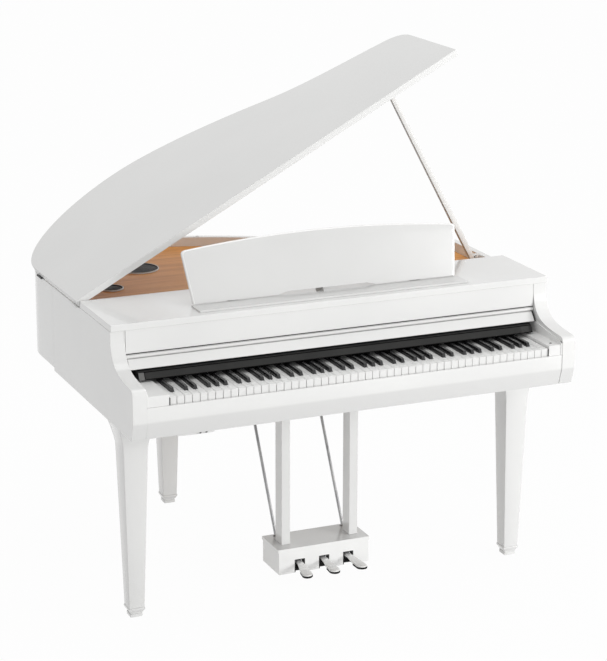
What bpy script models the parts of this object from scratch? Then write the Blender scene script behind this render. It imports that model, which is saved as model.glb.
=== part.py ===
"""White 88-key digital grand piano, modelled as separate pieces in metres.

X runs to the treble end, Y to the tail and Z up. Depths are written as the
distance behind the front face of the case, and heights from the floor.
"""

import math

import bmesh
import bpy
from mathutils import Matrix, Vector

# Overall sizes, from which the places of the pieces follow
WIDTH = 1.430
SIDE = WIDTH / 2
DEPTH = 1.237
HEIGHT_CLOSED = 0.932
PANEL = 0.022
GAP = 0.0003
LID_THICKNESS = 0.0202
LID_CLEARANCE = 0.0028
RIM_TOP = HEIGHT_CLOSED - LID_THICKNESS - LID_CLEARANCE
KEY_TOP = HEIGHT_CLOSED - 0.1765
CASE_BOTTOM = KEY_TOP - 0.1205
TAIL_BOTTOM = CASE_BOTTOM + 0.010

# Lid, opened on its prop about the outer left edge
LID_ANGLE = math.radians(28.44)
LID_BEVEL = 0.0015
HINGE_OUT = 0.004
HINGE_Z = RIM_TOP + 0.0015
HINGE_RADIUS = 0.0030
HINGE_ARM = 0.0021
PIN_RADIUS = 0.0012
LEAF = 0.0008
LEAF_LENGTH = 0.044
LEAF_WIDTH = 0.020
HINGE_DEPTHS = {"front": 0.510, "rear": 0.872}

# Front top board and the arms beside the keys
BOARD_THICKNESS = 0.020
BOARD_FRONT = 0.183
BOARD_REAR = 0.4735
LID_FRONT_GAP = 0.0025
ARM_WIDTH = 0.044
ARM_REAR = 0.2085
CHIN_Z = CASE_BOTTOM + 0.055
CHIN_BACK = 0.0165
ARM_TIP_Z = KEY_TOP + 0.0105
SWEEP_FOOT = (0.015, ARM_TIP_Z + 0.0215)
SWEEP_MIDDLE = (0.120, ARM_TIP_Z + 0.0345)
SWEEP_TOP = (0.190, ARM_TIP_Z + 0.1140)
SIDE_REAR_LEFT = 0.750
SIDE_REAR_RIGHT = 0.700

# Plan of the curved tail, as the knots and handles of four curves
TAIL_LEFT = (-SIDE, 0.900)
TAIL_LEFT_OUT = (-SIDE, 1.090)
TAIL_CROWN_IN = (-SIDE + 0.225, DEPTH)
TAIL_CROWN = (-SIDE + 0.445, DEPTH)
TAIL_CROWN_OUT = (-SIDE + 0.585, DEPTH)
WAIST_IN = (SIDE - 0.645, 1.1424)
WAIST = (SIDE - 0.485, 1.040)
WAIST_OUT = (SIDE - 0.405, 0.9888)
FLANK_IN = (SIDE - 0.335, 0.9635)
FLANK = (SIDE - 0.255, 0.9405)
CORNER = (SIDE - 0.070, 0.8875)
CORNER_OUT = (SIDE - 0.025, 0.8746)
CORNER_SIDE_IN = (SIDE, 0.845)
CORNER_SIDE = (SIDE, 0.800)
CURVE_STEPS = 9

# Keyboard
WHITE_KEYS = 52
KEY_PITCH = 0.0236
KEY_GAP = 0.0010
KEYBOARD_CENTRE = 0.0115
KEY_FRONT = 0.0075
KEY_BOTTOM = KEY_TOP - 0.0315
KEY_REAR = 0.362
RAIL_LENGTH = 0.016
BLACK_WIDTH = 0.0108
BLACK_FRONT = 0.0500
BLACK_SLOPE = 0.0055
BLACK_TOP = KEY_TOP + 0.0120
BLACK_BOTTOM = KEY_TOP - 0.0135
BLACK_REAR = KEY_REAR + 0.018
BLACK_CLEARANCE = 0.0012
KEY_PIVOT_Z = KEY_TOP - 0.0105
REST_X = (
    KEYBOARD_CENTRE - WHITE_KEYS * KEY_PITCH / 2 + 0.0041,
    KEYBOARD_CENTRE + WHITE_KEYS * KEY_PITCH / 2 - 0.0041,
)
REST_FRONT = KEY_REAR - 0.0105
FIRST_SINGLE = 23
SINGLE_WHITES = 3
FIRST_TOP = 37

# Fittings round the keys
SLIP_TOP = KEY_TOP - 0.0235
SLIP_LIP = 0.0062
SLIP_BACK = 0.018
SLIP_STEP_Z = SLIP_TOP - 0.0240
BLOCK_TOP = KEY_TOP + 0.0085
BLOCK_FRONT = 0.0035
CHEEK = 0.0040
TRACK_START = (0.0210, BLOCK_TOP + 0.0105)
TRACK_SLOPE = math.radians(8.05)
TRACK_REAR = 0.400
BUTTON_RADIUS = 0.0036
BUTTON_DEPTH = 0.030
BUTTON_X = SIDE - ARM_WIDTH - 0.026

# Control strip above the keys
STRIP_HALF = SIDE - ARM_WIDTH - 0.0260
FACE_HALF = STRIP_HALF - 0.0020
STRIP_FOOT = (0.1410, KEY_TOP + 0.0140)
STRIP_EDGE = (0.1545, STRIP_FOOT[1] + 0.0215)
STRIP_BACK = 0.300
STRIP_FOOT_D = 0.200
STRIP_FACE = 0.0020
STRIP_MARGIN = 0.0030

# Sliding key cover
COVER_NOSE = 0.1660
COVER_LEAN = 0.0210
COVER_NOSE_HEIGHT = 0.0272
COVER_NOSE_TOP = 0.014
COVER_SHEET = 0.009
COVER_REAR = 0.395
COVER_HALF = SIDE - ARM_WIDTH - 0.0070
COVER_SHEET_HALF = SIDE - ARM_WIDTH - 0.0020
COVER_LIFT = 0.0007

# Panel above the keys and the bead along its foot
FRONT_PANEL_D = 0.1885
FRONT_PANEL_THICKNESS = 0.018
BEAD_BOTTOM = KEY_TOP + 0.0690
BEAD_TOP = BEAD_BOTTOM + 0.0120
FRONT_PANEL_BOTTOM = BEAD_TOP + 0.0020
BEAD_FRONT = FRONT_PANEL_D - 0.0020
BEAD_THICKNESS = 0.016

# Keybed, base, wooden speaker board and loudspeakers
KEYBED_TOP = CASE_BOTTOM + 0.020
KEYBED_REAR = 0.470
BASE_THICKNESS = 0.012
WOOD_TOP = RIM_TOP - 0.031
WOOD_THICKNESS = 0.012
WOOD_FRONT = 0.440
LARGE_RADIUS = 0.062
SMALL_RADIUS = 0.033
GRILLE_RING = 0.006
GRILLE_RISE = 0.0028
GRILLE_SKIRT = 0.009
SPEAKERS = {
    "left_large": (-SIDE + 0.354, 0.961, LARGE_RADIUS),
    "left_small": (-SIDE + 0.196, 0.762, SMALL_RADIUS),
    "right_large": (SIDE - 0.354, 0.720, LARGE_RADIUS),
    "right_small": (SIDE - 0.196, 0.670, SMALL_RADIUS),
}
WOOFER_DEPTH = 0.070

# Music desk, its rail and the stay behind it
DESK_CENTRE = KEYBOARD_CENTRE
DESK_HALF_BOTTOM = 0.4330
DESK_HALF_TOP = DESK_HALF_BOTTOM + 0.0200
DESK_SIDE = 0.1600
DESK_CROWN = 0.0245
DESK_CORNER = 0.013
DESK_THICKNESS = 0.012
DESK_TILT = math.radians(17.0)
DESK_FOOT = (0.2850, HEIGHT_CLOSED + 0.0065)
NOTCH_HALF_FOOT = 0.1640
NOTCH_HALF_TOP = NOTCH_HALF_FOOT - 0.0320
NOTCH_HEIGHT = 0.0085
DESK_PIN = 0.0022
DESK_PIVOT_UP = 0.0125
DESK_PIVOT_BACK = 0.0065
DESK_LUG_X = 0.300
DESK_LUG = 0.012
LUG_MARGIN = 0.0045
RAIL_HALF = DESK_HALF_BOTTOM + 0.0080
RAIL_FRONT = DESK_FOOT[0] - 0.0750
RAIL_BACK = DESK_FOOT[0] - 0.0010
RAIL_PLATE_TOP = HEIGHT_CLOSED + 0.0022
RAIL_TOP = RAIL_PLATE_TOP + 0.0020
RAIL_LIP = 0.0020
STAY_UP = 0.060
STAY_HALF = 0.012
STAY_THICKNESS = 0.003
STAY_REACH = 0.030

# Lid prop
PROP_PIVOT = (SIDE - PANEL - 0.0255, RIM_TOP - 0.0016)
PROP_DEPTH = 0.580
PROP_ANGLE = math.radians(61.56)
PROP_OFFSET_FOOT = 0.0113
PROP_OFFSET_TIP = 0.0085
PROP_WIDTH_FOOT = 0.0165
PROP_WIDTH_TIP = 0.0140
PROP_THICKNESS_FOOT = 0.0140
PROP_THICKNESS_TIP = 0.0100
PROP_PIN = 0.0030
CUP_HEIGHT = 0.0060
CUP_HALF = 0.016

# Legs and their feet
LEG_X = SIDE - 0.080
LEG_D = 0.251
REAR_LEG_X = -SIDE + 0.5035
REAR_LEG_D = DEPTH - 0.113
LEG_HALF_FLOOR = 0.0232
LEG_HALF_SLOPE = 0.02825
LEG_FLARE_START = CASE_BOTTOM - 0.100
LEG_FLARE_TOP = 0.0655
LEG_FLARE_POWER = 1.5
FOOT_HEIGHT = 0.030
FOOT_HALF = 0.0190
FOOT_LEDGE_HALF = FOOT_HALF + 0.0068
FOOT_GROOVE_Z = 0.0130
FOOT_GROOVE = 0.0025

# Pedal lyre
POST_X = 0.115
POST_D = 0.336
POST_WIDTH = 0.029
POST_DEPTH = 0.050
BOX_HALF = POST_X + 0.0380
BOX_FRONT = POST_D - 0.0600
BOX_REAR = POST_D + 0.0710
BOX_BOTTOM = FOOT_HEIGHT + 0.0090
BOX_TOP = BOX_BOTTOM + 0.0825
BOX_WALL = 0.012
BOX_LIP = 0.0025
BOX_LIP_HEIGHT = 0.011
SLOT_HALF = 0.0172
SLOT_TOP = BOX_BOTTOM + 0.0430
ROD_RADIUS = 0.0046
ROD_FOOT_D = BOX_REAR - 0.0140
ROD_HEAD_D = 0.676
PEDAL_SPACING = 0.0825
PEDAL_TIP_D = BOX_FRONT - 0.0960
PEDAL_PIVOT = (BOX_REAR - 0.0270, BOX_BOTTOM + 0.0310)
PEDAL_THICKNESS = 0.0060
PEDAL_NECK = 0.0100
PEDAL_PAD = 0.0165
PEDAL_FAN = 0.0090
PEDAL_SHAFT = 0.0030
PEDAL_BOSS = 0.0065

# Sockets and electronics
JACK_BOX = (-SIDE + 0.155, -SIDE + 0.270, 0.060, 0.150, CASE_BOTTOM - 0.0195)
JACK_X = (JACK_BOX[0] + 0.0687, JACK_BOX[0] + 0.0877)
JACK_RADIUS = 0.0048
MAIN_BOARD = (-SIDE + 0.565, -SIDE + 0.845, KEYBED_REAR + 0.050, KEYBED_REAR + 0.210)
POWER_SUPPLY = (SIDE - 0.475, SIDE - 0.315, KEYBED_REAR + 0.050, KEYBED_REAR + 0.150)

# What the open lid adds at the left, halved so that the origin is central
LID_EDGE = HINGE_OUT * math.cos(LID_ANGLE) - (HEIGHT_CLOSED - HINGE_Z) * math.sin(LID_ANGLE)
SHIFT_X = (HINGE_OUT - LID_EDGE - 0.3 * LID_BEVEL) / 2


def world(x, d, z):
    """Point from sideways position, depth behind the front and height."""
    return Vector((x + SHIFT_X, d - DEPTH / 2, z))


def clear_scene():
    for item in list(bpy.data.objects):
        bpy.data.objects.remove(item, do_unlink=True)


def finish_of(name, colour, roughness, metallic=0.0, coat=0.0):
    material = bpy.data.materials.new(name)
    material.use_nodes = True
    shader = material.node_tree.nodes["Principled BSDF"]
    shader.inputs["Base Color"].default_value = (*colour, 1.0)
    shader.inputs["Roughness"].default_value = roughness
    shader.inputs["Metallic"].default_value = metallic
    shader.inputs["Coat Weight"].default_value = coat
    material.diffuse_color = (*colour, 1.0)
    return material


WHITE_LACQUER = dict(colour=(0.80, 0.80, 0.79), roughness=0.12, coat=0.6)
WHITE_SATIN = dict(colour=(0.80, 0.80, 0.78), roughness=0.28)
WHITE_KEY = dict(colour=(0.84, 0.84, 0.81), roughness=0.22)
BLACK_KEY = dict(colour=(0.012, 0.012, 0.013), roughness=0.25)
BLACK_PLASTIC = dict(colour=(0.010, 0.010, 0.010), roughness=0.45)
DARK_FACE = dict(colour=(0.050, 0.050, 0.048), roughness=0.30)
TONEWOOD = dict(colour=(0.46, 0.24, 0.115), roughness=0.42)
GRILLE_CLOTH = dict(colour=(0.030, 0.032, 0.034), roughness=0.80)
STEEL = dict(colour=(0.36, 0.36, 0.36), roughness=0.30, metallic=1.0)
CHROME = dict(colour=(0.72, 0.72, 0.72), roughness=0.10, metallic=1.0)
DARK_METAL = dict(colour=(0.10, 0.10, 0.10), roughness=0.45, metallic=1.0)
BOARD_GREEN = dict(colour=(0.02, 0.14, 0.06), roughness=0.50)
BARE_PANEL = dict(colour=(0.36, 0.27, 0.18), roughness=0.70)


def new_object(name, mesh, finish, pivot=None):
    """Links a mesh as one node, with its own material and its origin on the pivot."""
    item = bpy.data.objects.new(name, mesh)
    bpy.context.scene.collection.objects.link(item)
    if pivot is not None:
        mesh.transform(Matrix.Translation(-pivot))
        item.location = pivot
    mesh.materials.append(finish_of(name + "_finish", **finish))
    return item


def mesh_from(bm, name):
    bmesh.ops.remove_doubles(bm, verts=bm.verts, dist=0.00001)
    bmesh.ops.recalc_face_normals(bm, faces=bm.faces)
    mesh = bpy.data.meshes.new(name)
    bm.to_mesh(mesh)
    bm.free()
    return mesh


def prism_mesh(name, outline, origin, u, v, low, high):
    """Extrudes an outline given along u and v, between two heights on their normal."""
    normal = u.cross(v).normalized()
    bm = bmesh.new()
    rings = []
    for height in (low, high):
        rings.append([bm.verts.new(origin + a * u + b * v + height * normal) for a, b in outline])
    count = len(outline)
    bm.faces.new(rings[0][::-1])
    bm.faces.new(rings[1])
    for i in range(count):
        j = (i + 1) % count
        bm.faces.new((rings[0][i], rings[0][j], rings[1][j], rings[1][i]))
    return mesh_from(bm, name)


def side_prism(name, outline, x_low, x_high):
    """Prism whose outline is drawn as depth and height, extruded sideways."""
    u = Vector((0, 1, 0))
    v = Vector((0, 0, 1))
    return prism_mesh(name, outline, world(0, 0, 0), u, v, x_low, x_high)


def plan_prism(name, outline, z_low, z_high):
    """Prism whose outline is drawn as sideways position and depth, extruded up."""
    u = Vector((1, 0, 0))
    v = Vector((0, 1, 0))
    return prism_mesh(name, outline, world(0, 0, 0), u, v, z_low, z_high)


def block_mesh(name, x0, x1, d0, d1, z0, z1):
    return plan_prism(name, [(x0, d0), (x1, d0), (x1, d1), (x0, d1)], z0, z1)


def loft_mesh(name, rings):
    """Skins a list of equal-length rings of points and closes both ends."""
    bm = bmesh.new()
    rows = [[bm.verts.new(point) for point in ring] for ring in rings]
    count = len(rows[0])
    for a, b in zip(rows, rows[1:]):
        for i in range(count):
            j = (i + 1) % count
            bm.faces.new((a[i], a[j], b[j], b[i]))
    bm.faces.new(rows[0][::-1])
    bm.faces.new(rows[-1])
    return mesh_from(bm, name)


def ring_about(centre, u, v, half_u, half_v):
    """Four corners of a rectangle about a centre."""
    corners = ((-1, -1), (1, -1), (1, 1), (-1, 1))
    return [centre + a * half_u * u + b * half_v * v for a, b in corners]


def round_ring(centre, u, v, radius, sides):
    turns = [2 * math.pi * i / sides for i in range(sides)]
    return [centre + radius * (math.cos(t) * u + math.sin(t) * v) for t in turns]


def rod_mesh(name, start, end, radius, sides=16):
    axis = (end - start).normalized()
    u = axis.orthogonal().normalized()
    v = axis.cross(u)
    return loft_mesh(name, [round_ring(start, u, v, radius, sides), round_ring(end, u, v, radius, sides)])


def turned_mesh(name, centre, profile, sides):
    """Turns a profile of radius and height about an upright axis."""
    u = Vector((1, 0, 0))
    v = Vector((0, 1, 0))
    rings = [round_ring(centre + Vector((0, 0, z)), u, v, r, sides) for r, z in profile]
    return loft_mesh(name, rings)


def bevel(item, width, segments=1, angle=40.0):
    modifier = item.modifiers.new("edge", "BEVEL")
    modifier.width = width
    modifier.segments = segments
    modifier.limit_method = "ANGLE"
    modifier.angle_limit = math.radians(angle)


def combine(item, mesh, operation):
    """Adds or cuts a closed mesh with an exact boolean, the tool kept hidden."""
    tool = bpy.data.objects.new(item.name + "_tool", mesh)
    bpy.context.scene.collection.objects.link(tool)
    modifier = item.modifiers.new(operation.lower(), "BOOLEAN")
    modifier.operation = operation
    modifier.solver = "EXACT"
    modifier.object = tool
    bpy.context.view_layer.update()
    graph = bpy.context.evaluated_depsgraph_get()
    result = bpy.data.meshes.new_from_object(item.evaluated_get(graph))
    item.modifiers.clear()
    item.data = result
    bpy.data.objects.remove(tool, do_unlink=True)


def smooth(item, angle=35.0):
    for face in item.data.polygons:
        face.use_smooth = True
    item.data.set_sharp_from_angle(angle=math.radians(angle))


def bezier(start, handle_a, handle_b, end, steps):
    """Points of one cubic curve, without its last point."""
    points = []
    for i in range(steps):
        t = i / steps
        weights = ((1 - t) ** 3, 3 * (1 - t) ** 2 * t, 3 * (1 - t) * t ** 2, t ** 3)
        knots = (start, handle_a, handle_b, end)
        points.append(tuple(sum(w * k[axis] for w, k in zip(weights, knots)) for axis in (0, 1)))
    return points


def tail_curve(left_start, right_end):
    """Outer plan of the case, from the left side round the tail to the right side."""
    points = [(-WIDTH / 2, left_start)]
    points += bezier(TAIL_LEFT, TAIL_LEFT_OUT, TAIL_CROWN_IN, TAIL_CROWN, CURVE_STEPS)
    points += bezier(TAIL_CROWN, TAIL_CROWN_OUT, WAIST_IN, WAIST, CURVE_STEPS)
    points += bezier(WAIST, WAIST_OUT, FLANK_IN, FLANK, CURVE_STEPS // 2)
    points += [FLANK]
    points += bezier(CORNER, CORNER_OUT, CORNER_SIDE_IN, CORNER_SIDE, CURVE_STEPS - 2)
    points += [CORNER_SIDE, (WIDTH / 2, right_end)]
    return points


def inset(points, amount):
    """Moves an open run of points to its right-hand side by an amount."""
    moved = []
    for i, point in enumerate(points):
        before = points[max(i - 1, 0)]
        after = points[min(i + 1, len(points) - 1)]
        along = Vector((after[0] - before[0], after[1] - before[1])).normalized()
        moved.append((point[0] + along.y * amount, point[1] - along.x * amount))
    return moved


def arm_outline():
    """Side view of an arm: chin, rounded tip, swept hollow and upright back."""
    tip = [(0.0, CHIN_Z), (0.0, ARM_TIP_Z)]
    nose = bezier((0.0, ARM_TIP_Z), (0.0, ARM_TIP_Z + 0.014), (0.004, ARM_TIP_Z + 0.019), SWEEP_FOOT, 5)[1:]
    z = SWEEP_MIDDLE[1]
    lower = bezier(SWEEP_FOOT, (0.050, z - 0.0100), (0.090, z - 0.0080), SWEEP_MIDDLE, 5)
    upper = bezier(SWEEP_MIDDLE, (0.158, z + 0.0100), (0.184, z + 0.0335), SWEEP_TOP, 7)
    return tip + nose + lower + upper + [SWEEP_TOP]


def build_sides():
    under_board = HEIGHT_CLOSED - BOARD_THICKNESS - GAP
    for side, rear in ((-1, SIDE_REAR_LEFT), (1, SIDE_REAR_RIGHT)):
        outline = [(CHIN_BACK, CASE_BOTTOM)] + arm_outline()
        outline += [(SWEEP_TOP[0], under_board), (BOARD_REAR + GAP, under_board)]
        outline += [(BOARD_REAR + GAP, RIM_TOP), (rear - GAP, RIM_TOP), (rear - GAP, CASE_BOTTOM)]
        low, high = sorted((side * WIDTH / 2, side * (WIDTH / 2 - ARM_WIDTH)))
        name = "side_left" if side < 0 else "side_right"
        item = new_object(name, side_prism(name, outline, low, high), WHITE_LACQUER)
        inner = sorted((side * (WIDTH / 2 - PANEL), side * (WIDTH / 2 - 2 * ARM_WIDTH)))
        cut = block_mesh("hollow", *inner, ARM_REAR, rear + 0.1, CASE_BOTTOM - 0.1, RIM_TOP + 0.1)
        combine(item, cut, "DIFFERENCE")
        smooth(item)


def build_rim():
    outer = tail_curve(SIDE_REAR_LEFT + GAP, SIDE_REAR_RIGHT + GAP)
    inner = inset(outer, PANEL)
    mesh = plan_prism("rim_tail", outer + inner[::-1], TAIL_BOTTOM, RIM_TOP)
    item = new_object("rim_tail", mesh, WHITE_LACQUER)
    smooth(item)


def inner_plan(front, gap):
    """Plan of a panel that fills the case between the rim and a front edge."""
    outer = tail_curve(front, front)
    return inset(outer, PANEL + gap)


def build_case_panels():
    half = WIDTH / 2 - ARM_WIDTH - GAP
    wide = WIDTH / 2 - PANEL - GAP
    front = SLIP_BACK + GAP
    bed = [(-half, front), (half, front), (half, ARM_REAR + GAP), (wide, ARM_REAR + GAP), (wide, KEYBED_REAR)]
    bed += [(-wide, KEYBED_REAR), (-wide, ARM_REAR + GAP), (-half, ARM_REAR + GAP)]
    item = new_object("keybed", plan_prism("keybed", bed, CASE_BOTTOM, KEYBED_TOP), WHITE_SATIN)
    low = KEYBED_TOP - 0.004
    white_rest = block_mesh("rest", *REST_X, REST_FRONT, KEY_REAR, low, KEY_BOTTOM - GAP)
    combine(item, white_rest, "UNION")
    black_rest = block_mesh("rest", *REST_X, KEY_REAR + 0.0012, BLACK_REAR, low, BLACK_BOTTOM - GAP)
    combine(item, black_rest, "UNION")
    plan = inner_plan(KEYBED_REAR + GAP, GAP)
    mesh = plan_prism("base_panel", plan, TAIL_BOTTOM, TAIL_BOTTOM + BASE_THICKNESS)
    new_object("base_panel", mesh, BARE_PANEL)


def build_speaker_board():
    plan = inner_plan(WOOD_FRONT, GAP)
    mesh = plan_prism("speaker_board", plan, WOOD_TOP - WOOD_THICKNESS, WOOD_TOP)
    board = new_object("speaker_board", mesh, TONEWOOD)
    for x, d, radius in SPEAKERS.values():
        wall = [(radius - 0.004, WOOD_TOP - 0.05), (radius - 0.004, WOOD_TOP + 0.05)]
        cutter = turned_mesh("hole", world(x, d, 0), wall, 32)
        combine(board, cutter, "DIFFERENCE")
    smooth(board)
    for name, (x, d, radius) in SPEAKERS.items():
        skirt = radius - 0.004 - GAP
        profile = [
            (skirt, WOOD_TOP - GRILLE_SKIRT),
            (skirt, WOOD_TOP + GAP),
            (radius + GRILLE_RING, WOOD_TOP + GAP),
            (radius + GRILLE_RING - 0.001, WOOD_TOP + GRILLE_RISE),
            (radius + 0.001, WOOD_TOP + GRILLE_RISE),
            (radius, WOOD_TOP + 0.0012),
            (radius * 0.5, WOOD_TOP + 0.0035),
        ]
        item = new_object("grille_" + name, turned_mesh(name, world(x, d, 0), profile, 32), GRILLE_CLOTH)
        smooth(item)
        if radius == LARGE_RADIUS:
            build_woofer(name.split("_")[0], x, d)


def build_woofer(side, x, d):
    top = WOOD_TOP - WOOD_THICKNESS - GAP
    rim = LARGE_RADIUS + 0.006
    profile = [
        (0.024, top - WOOFER_DEPTH),
        (0.036, top - WOOFER_DEPTH),
        (0.036, top - WOOFER_DEPTH + 0.024),
        (rim - 0.014, top - 0.004),
        (rim, top - 0.004),
        (rim, top),
        (rim - 0.016, top),
        (0.018, top - WOOFER_DEPTH + 0.034),
    ]
    item = new_object("woofer_" + side, turned_mesh(side, world(x, d, 0), profile, 24), DARK_METAL)
    smooth(item)


def build_front():
    half = WIDTH / 2
    z_low = HEIGHT_CLOSED - BOARD_THICKNESS
    mesh = block_mesh("top_board", -half, half, BOARD_FRONT, BOARD_REAR, z_low, HEIGHT_CLOSED)
    item = new_object("top_board", mesh, WHITE_LACQUER)
    bevel(item, 0.0015, 2)
    reach = half - ARM_WIDTH - 0.0025
    d0 = FRONT_PANEL_D
    item = new_object(
        "front_panel",
        block_mesh("front_panel", -reach, reach, d0, d0 + FRONT_PANEL_THICKNESS, FRONT_PANEL_BOTTOM, z_low - GAP),
        WHITE_LACQUER,
    )
    d1 = BEAD_FRONT + BEAD_THICKNESS
    middle = (BEAD_BOTTOM + BEAD_TOP) / 2
    radius = (BEAD_TOP - BEAD_BOTTOM) / 2
    top = FRONT_PANEL_BOTTOM - GAP
    outline = [(d1, BEAD_BOTTOM), (d1, top), (d0 + 0.004, top), (d0 + 0.004, BEAD_TOP)]
    for i in range(7):
        turn = math.radians(90 + 30 * i)
        outline.append((BEAD_FRONT + radius + radius * math.cos(turn), middle + radius * math.sin(turn)))
    item = new_object("panel_bead", side_prism("panel_bead", outline, -reach, reach), WHITE_LACQUER)
    smooth(item, 50)


def track_height(d):
    """Height of the sloping track on which the key cover slides."""
    return TRACK_START[1] + math.tan(TRACK_SLOPE) * (d - TRACK_START[0])


def keyboard_edge(side):
    """Sideways position of the first or the last white key's outer face."""
    return KEYBOARD_CENTRE + side * WHITE_KEYS * KEY_PITCH / 2


def build_control_strip():
    foot_d, foot_z = STRIP_FOOT
    edge_d, edge_z = STRIP_EDGE
    back_z = track_height(STRIP_BACK) - 0.0030
    outline = [STRIP_FOOT, (STRIP_BACK, foot_z), (STRIP_BACK, back_z), STRIP_EDGE]
    mesh = side_prism("control_strip", outline, -STRIP_HALF, STRIP_HALF)
    strip = new_object("control_strip", mesh, BLACK_PLASTIC)
    wide = WIDTH / 2 - ARM_WIDTH - CHEEK - 2 * GAP
    rest = BLOCK_TOP + GAP
    top = foot_z + 0.012
    for side in (-1, 1):
        inner = keyboard_edge(side) + side * 0.005
        span = sorted((inner, side * wide))
        foot = block_mesh("foot", *span, STRIP_FOOT_D, STRIP_BACK, rest, top)
        combine(strip, foot, "UNION")
    along = Vector((0, edge_d - foot_d, edge_z - foot_z))
    length = along.length
    along.normalize()
    sideways = Vector((1, 0, 0))
    corner = world(0, foot_d, foot_z)
    low, high = STRIP_MARGIN, length - STRIP_MARGIN
    edge = FACE_HALF
    face = [(-edge, low), (edge, low), (edge, high), (-edge, high)]
    recess = prism_mesh("recess", face, corner, sideways, along, -STRIP_FACE, STRIP_FACE)
    combine(strip, recess, "DIFFERENCE")
    edge -= GAP
    face = [(-edge, low + GAP), (edge, low + GAP), (edge, high - GAP), (-edge, high - GAP)]
    mesh = prism_mesh("control_face", face, corner, sideways, along, -STRIP_FACE + GAP, 0.0004)
    new_object("control_face", mesh, DARK_FACE)


def build_key_cover():
    nose_d = COVER_NOSE
    nose_z = track_height(nose_d) + COVER_LIFT

    def under(d):
        return track_height(d) + COVER_LIFT

    top_d = nose_d + COVER_LEAN
    top_z = nose_z + COVER_NOSE_HEIGHT
    back_d = top_d + COVER_NOSE_TOP
    outline = [(nose_d + 0.002, under(nose_d)), (nose_d, nose_z + 0.002)]
    outline += [(top_d - 0.002, top_z - 0.002), (top_d, top_z)]
    outline += [(back_d, top_z + 0.0008), (back_d, under(back_d))]
    nose = side_prism("key_cover", outline, -COVER_HALF, COVER_HALF)
    cover = new_object("key_cover", nose, WHITE_LACQUER)
    start = top_d + 0.006
    end = COVER_REAR
    sheet = [(start, under(start)), (end, under(end))]
    sheet += [(end, under(end) + COVER_SHEET), (start, under(start) + COVER_SHEET)]
    combine(cover, side_prism("sheet", sheet, -COVER_SHEET_HALF, COVER_SHEET_HALF), "UNION")


def build_slip_and_blocks():
    half = WIDTH / 2 - ARM_WIDTH - GAP
    outline = [(CHIN_BACK, CASE_BOTTOM), (0.0, CHIN_Z), (0.0, SLIP_TOP - 0.003), (0.001, SLIP_TOP - 0.0008)]
    outline += [(0.003, SLIP_TOP), (SLIP_LIP, SLIP_TOP), (SLIP_LIP, SLIP_STEP_Z)]
    outline += [(SLIP_BACK, SLIP_STEP_Z), (SLIP_BACK, CASE_BOTTOM)]
    item = new_object("key_slip", side_prism("key_slip", outline, -half, half), WHITE_LACQUER)
    smooth(item, 25)
    rear = TRACK_REAR
    floor = KEYBED_TOP + GAP
    lower = SLIP_TOP + GAP
    back = SLIP_BACK + GAP
    step = [(back, lower), (back, floor), (rear, floor)]
    block = [(BLOCK_FRONT, lower), *step, (rear, BLOCK_TOP)]
    block += [(BLOCK_FRONT + 0.003, BLOCK_TOP), (BLOCK_FRONT, BLOCK_TOP - 0.003)]
    cheek = [(0.0015, lower), *step, (rear, track_height(rear)), TRACK_START]
    brow = (0.0015, BLOCK_TOP)
    lift = TRACK_START[1] - BLOCK_TOP
    handles = (0.009, BLOCK_TOP + 0.84 * lift), (0.0015, BLOCK_TOP + 0.67 * lift)
    cheek += bezier(TRACK_START, *handles, brow, 4)[1:]
    cheek += [brow]
    for name, side in (("key_block_left", -1), ("key_block_right", 1)):
        edge = keyboard_edge(side)
        inner = half - CHEEK
        span = sorted((edge + side * KEY_GAP, side * (inner + 0.001)))
        item = new_object(name, side_prism(name, block, *span), WHITE_SATIN)
        span = sorted((side * inner, side * half))
        combine(item, side_prism("cheek", cheek, *span), "UNION")
        if side > 0:
            reach = BUTTON_RADIUS + 0.0004
            wall = [(reach, BLOCK_TOP - 0.008), (reach, BLOCK_TOP + 0.01)]
            bore = turned_mesh("bore", world(BUTTON_X, BUTTON_DEPTH, 0), wall, 20)
            combine(item, bore, "DIFFERENCE")
        smooth(item, 30)
    pivot = world(BUTTON_X, BUTTON_DEPTH, BLOCK_TOP)
    profile = [(BUTTON_RADIUS, -0.006), (BUTTON_RADIUS, 0.0012), (BUTTON_RADIUS - 0.0008, 0.0018)]
    item = new_object("power_button", turned_mesh("power_button", pivot, profile, 20), DARK_FACE, pivot)
    smooth(item)


def key_letter(index):
    return "ABCDEFG"[index % 7]


def black_after(index):
    """Whether a black key stands between this white key and the next."""
    return index < WHITE_KEYS - 1 and key_letter(index) in "ACDFG"


def black_centre(index):
    """Sideways position of the black key after a white one."""
    lean = {"A": 0.0022, "C": -0.0022, "D": 0.0022, "F": -0.0026, "G": 0.0}[key_letter(index)]
    return left_edge(index + 1) + lean


def left_edge(index):
    return KEYBOARD_CENTRE + (index - WHITE_KEYS / 2) * KEY_PITCH


def white_outline(index):
    """Front half of a white key's plan, from its rear left corner to its rear right."""
    left = left_edge(index) + KEY_GAP / 2
    right = left_edge(index + 1) - KEY_GAP / 2
    shoulder = BLACK_FRONT - BLACK_CLEARANCE
    reach = BLACK_WIDTH / 2 + BLACK_CLEARANCE
    back = KEY_REAR - RAIL_LENGTH
    left_run = [(left, KEY_FRONT)]
    if index > 0 and black_after(index - 1):
        inner = black_centre(index - 1) + reach
        left_run = [(inner, back), (inner, shoulder), (left, shoulder)] + left_run
    else:
        left_run = [(left, back)] + left_run
    right_run = [(right, KEY_FRONT)]
    if black_after(index):
        inner = black_centre(index) - reach
        right_run += [(right, shoulder), (inner, shoulder), (inner, back)]
    else:
        right_run += [(right, back)]
    return left_run + right_run


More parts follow.
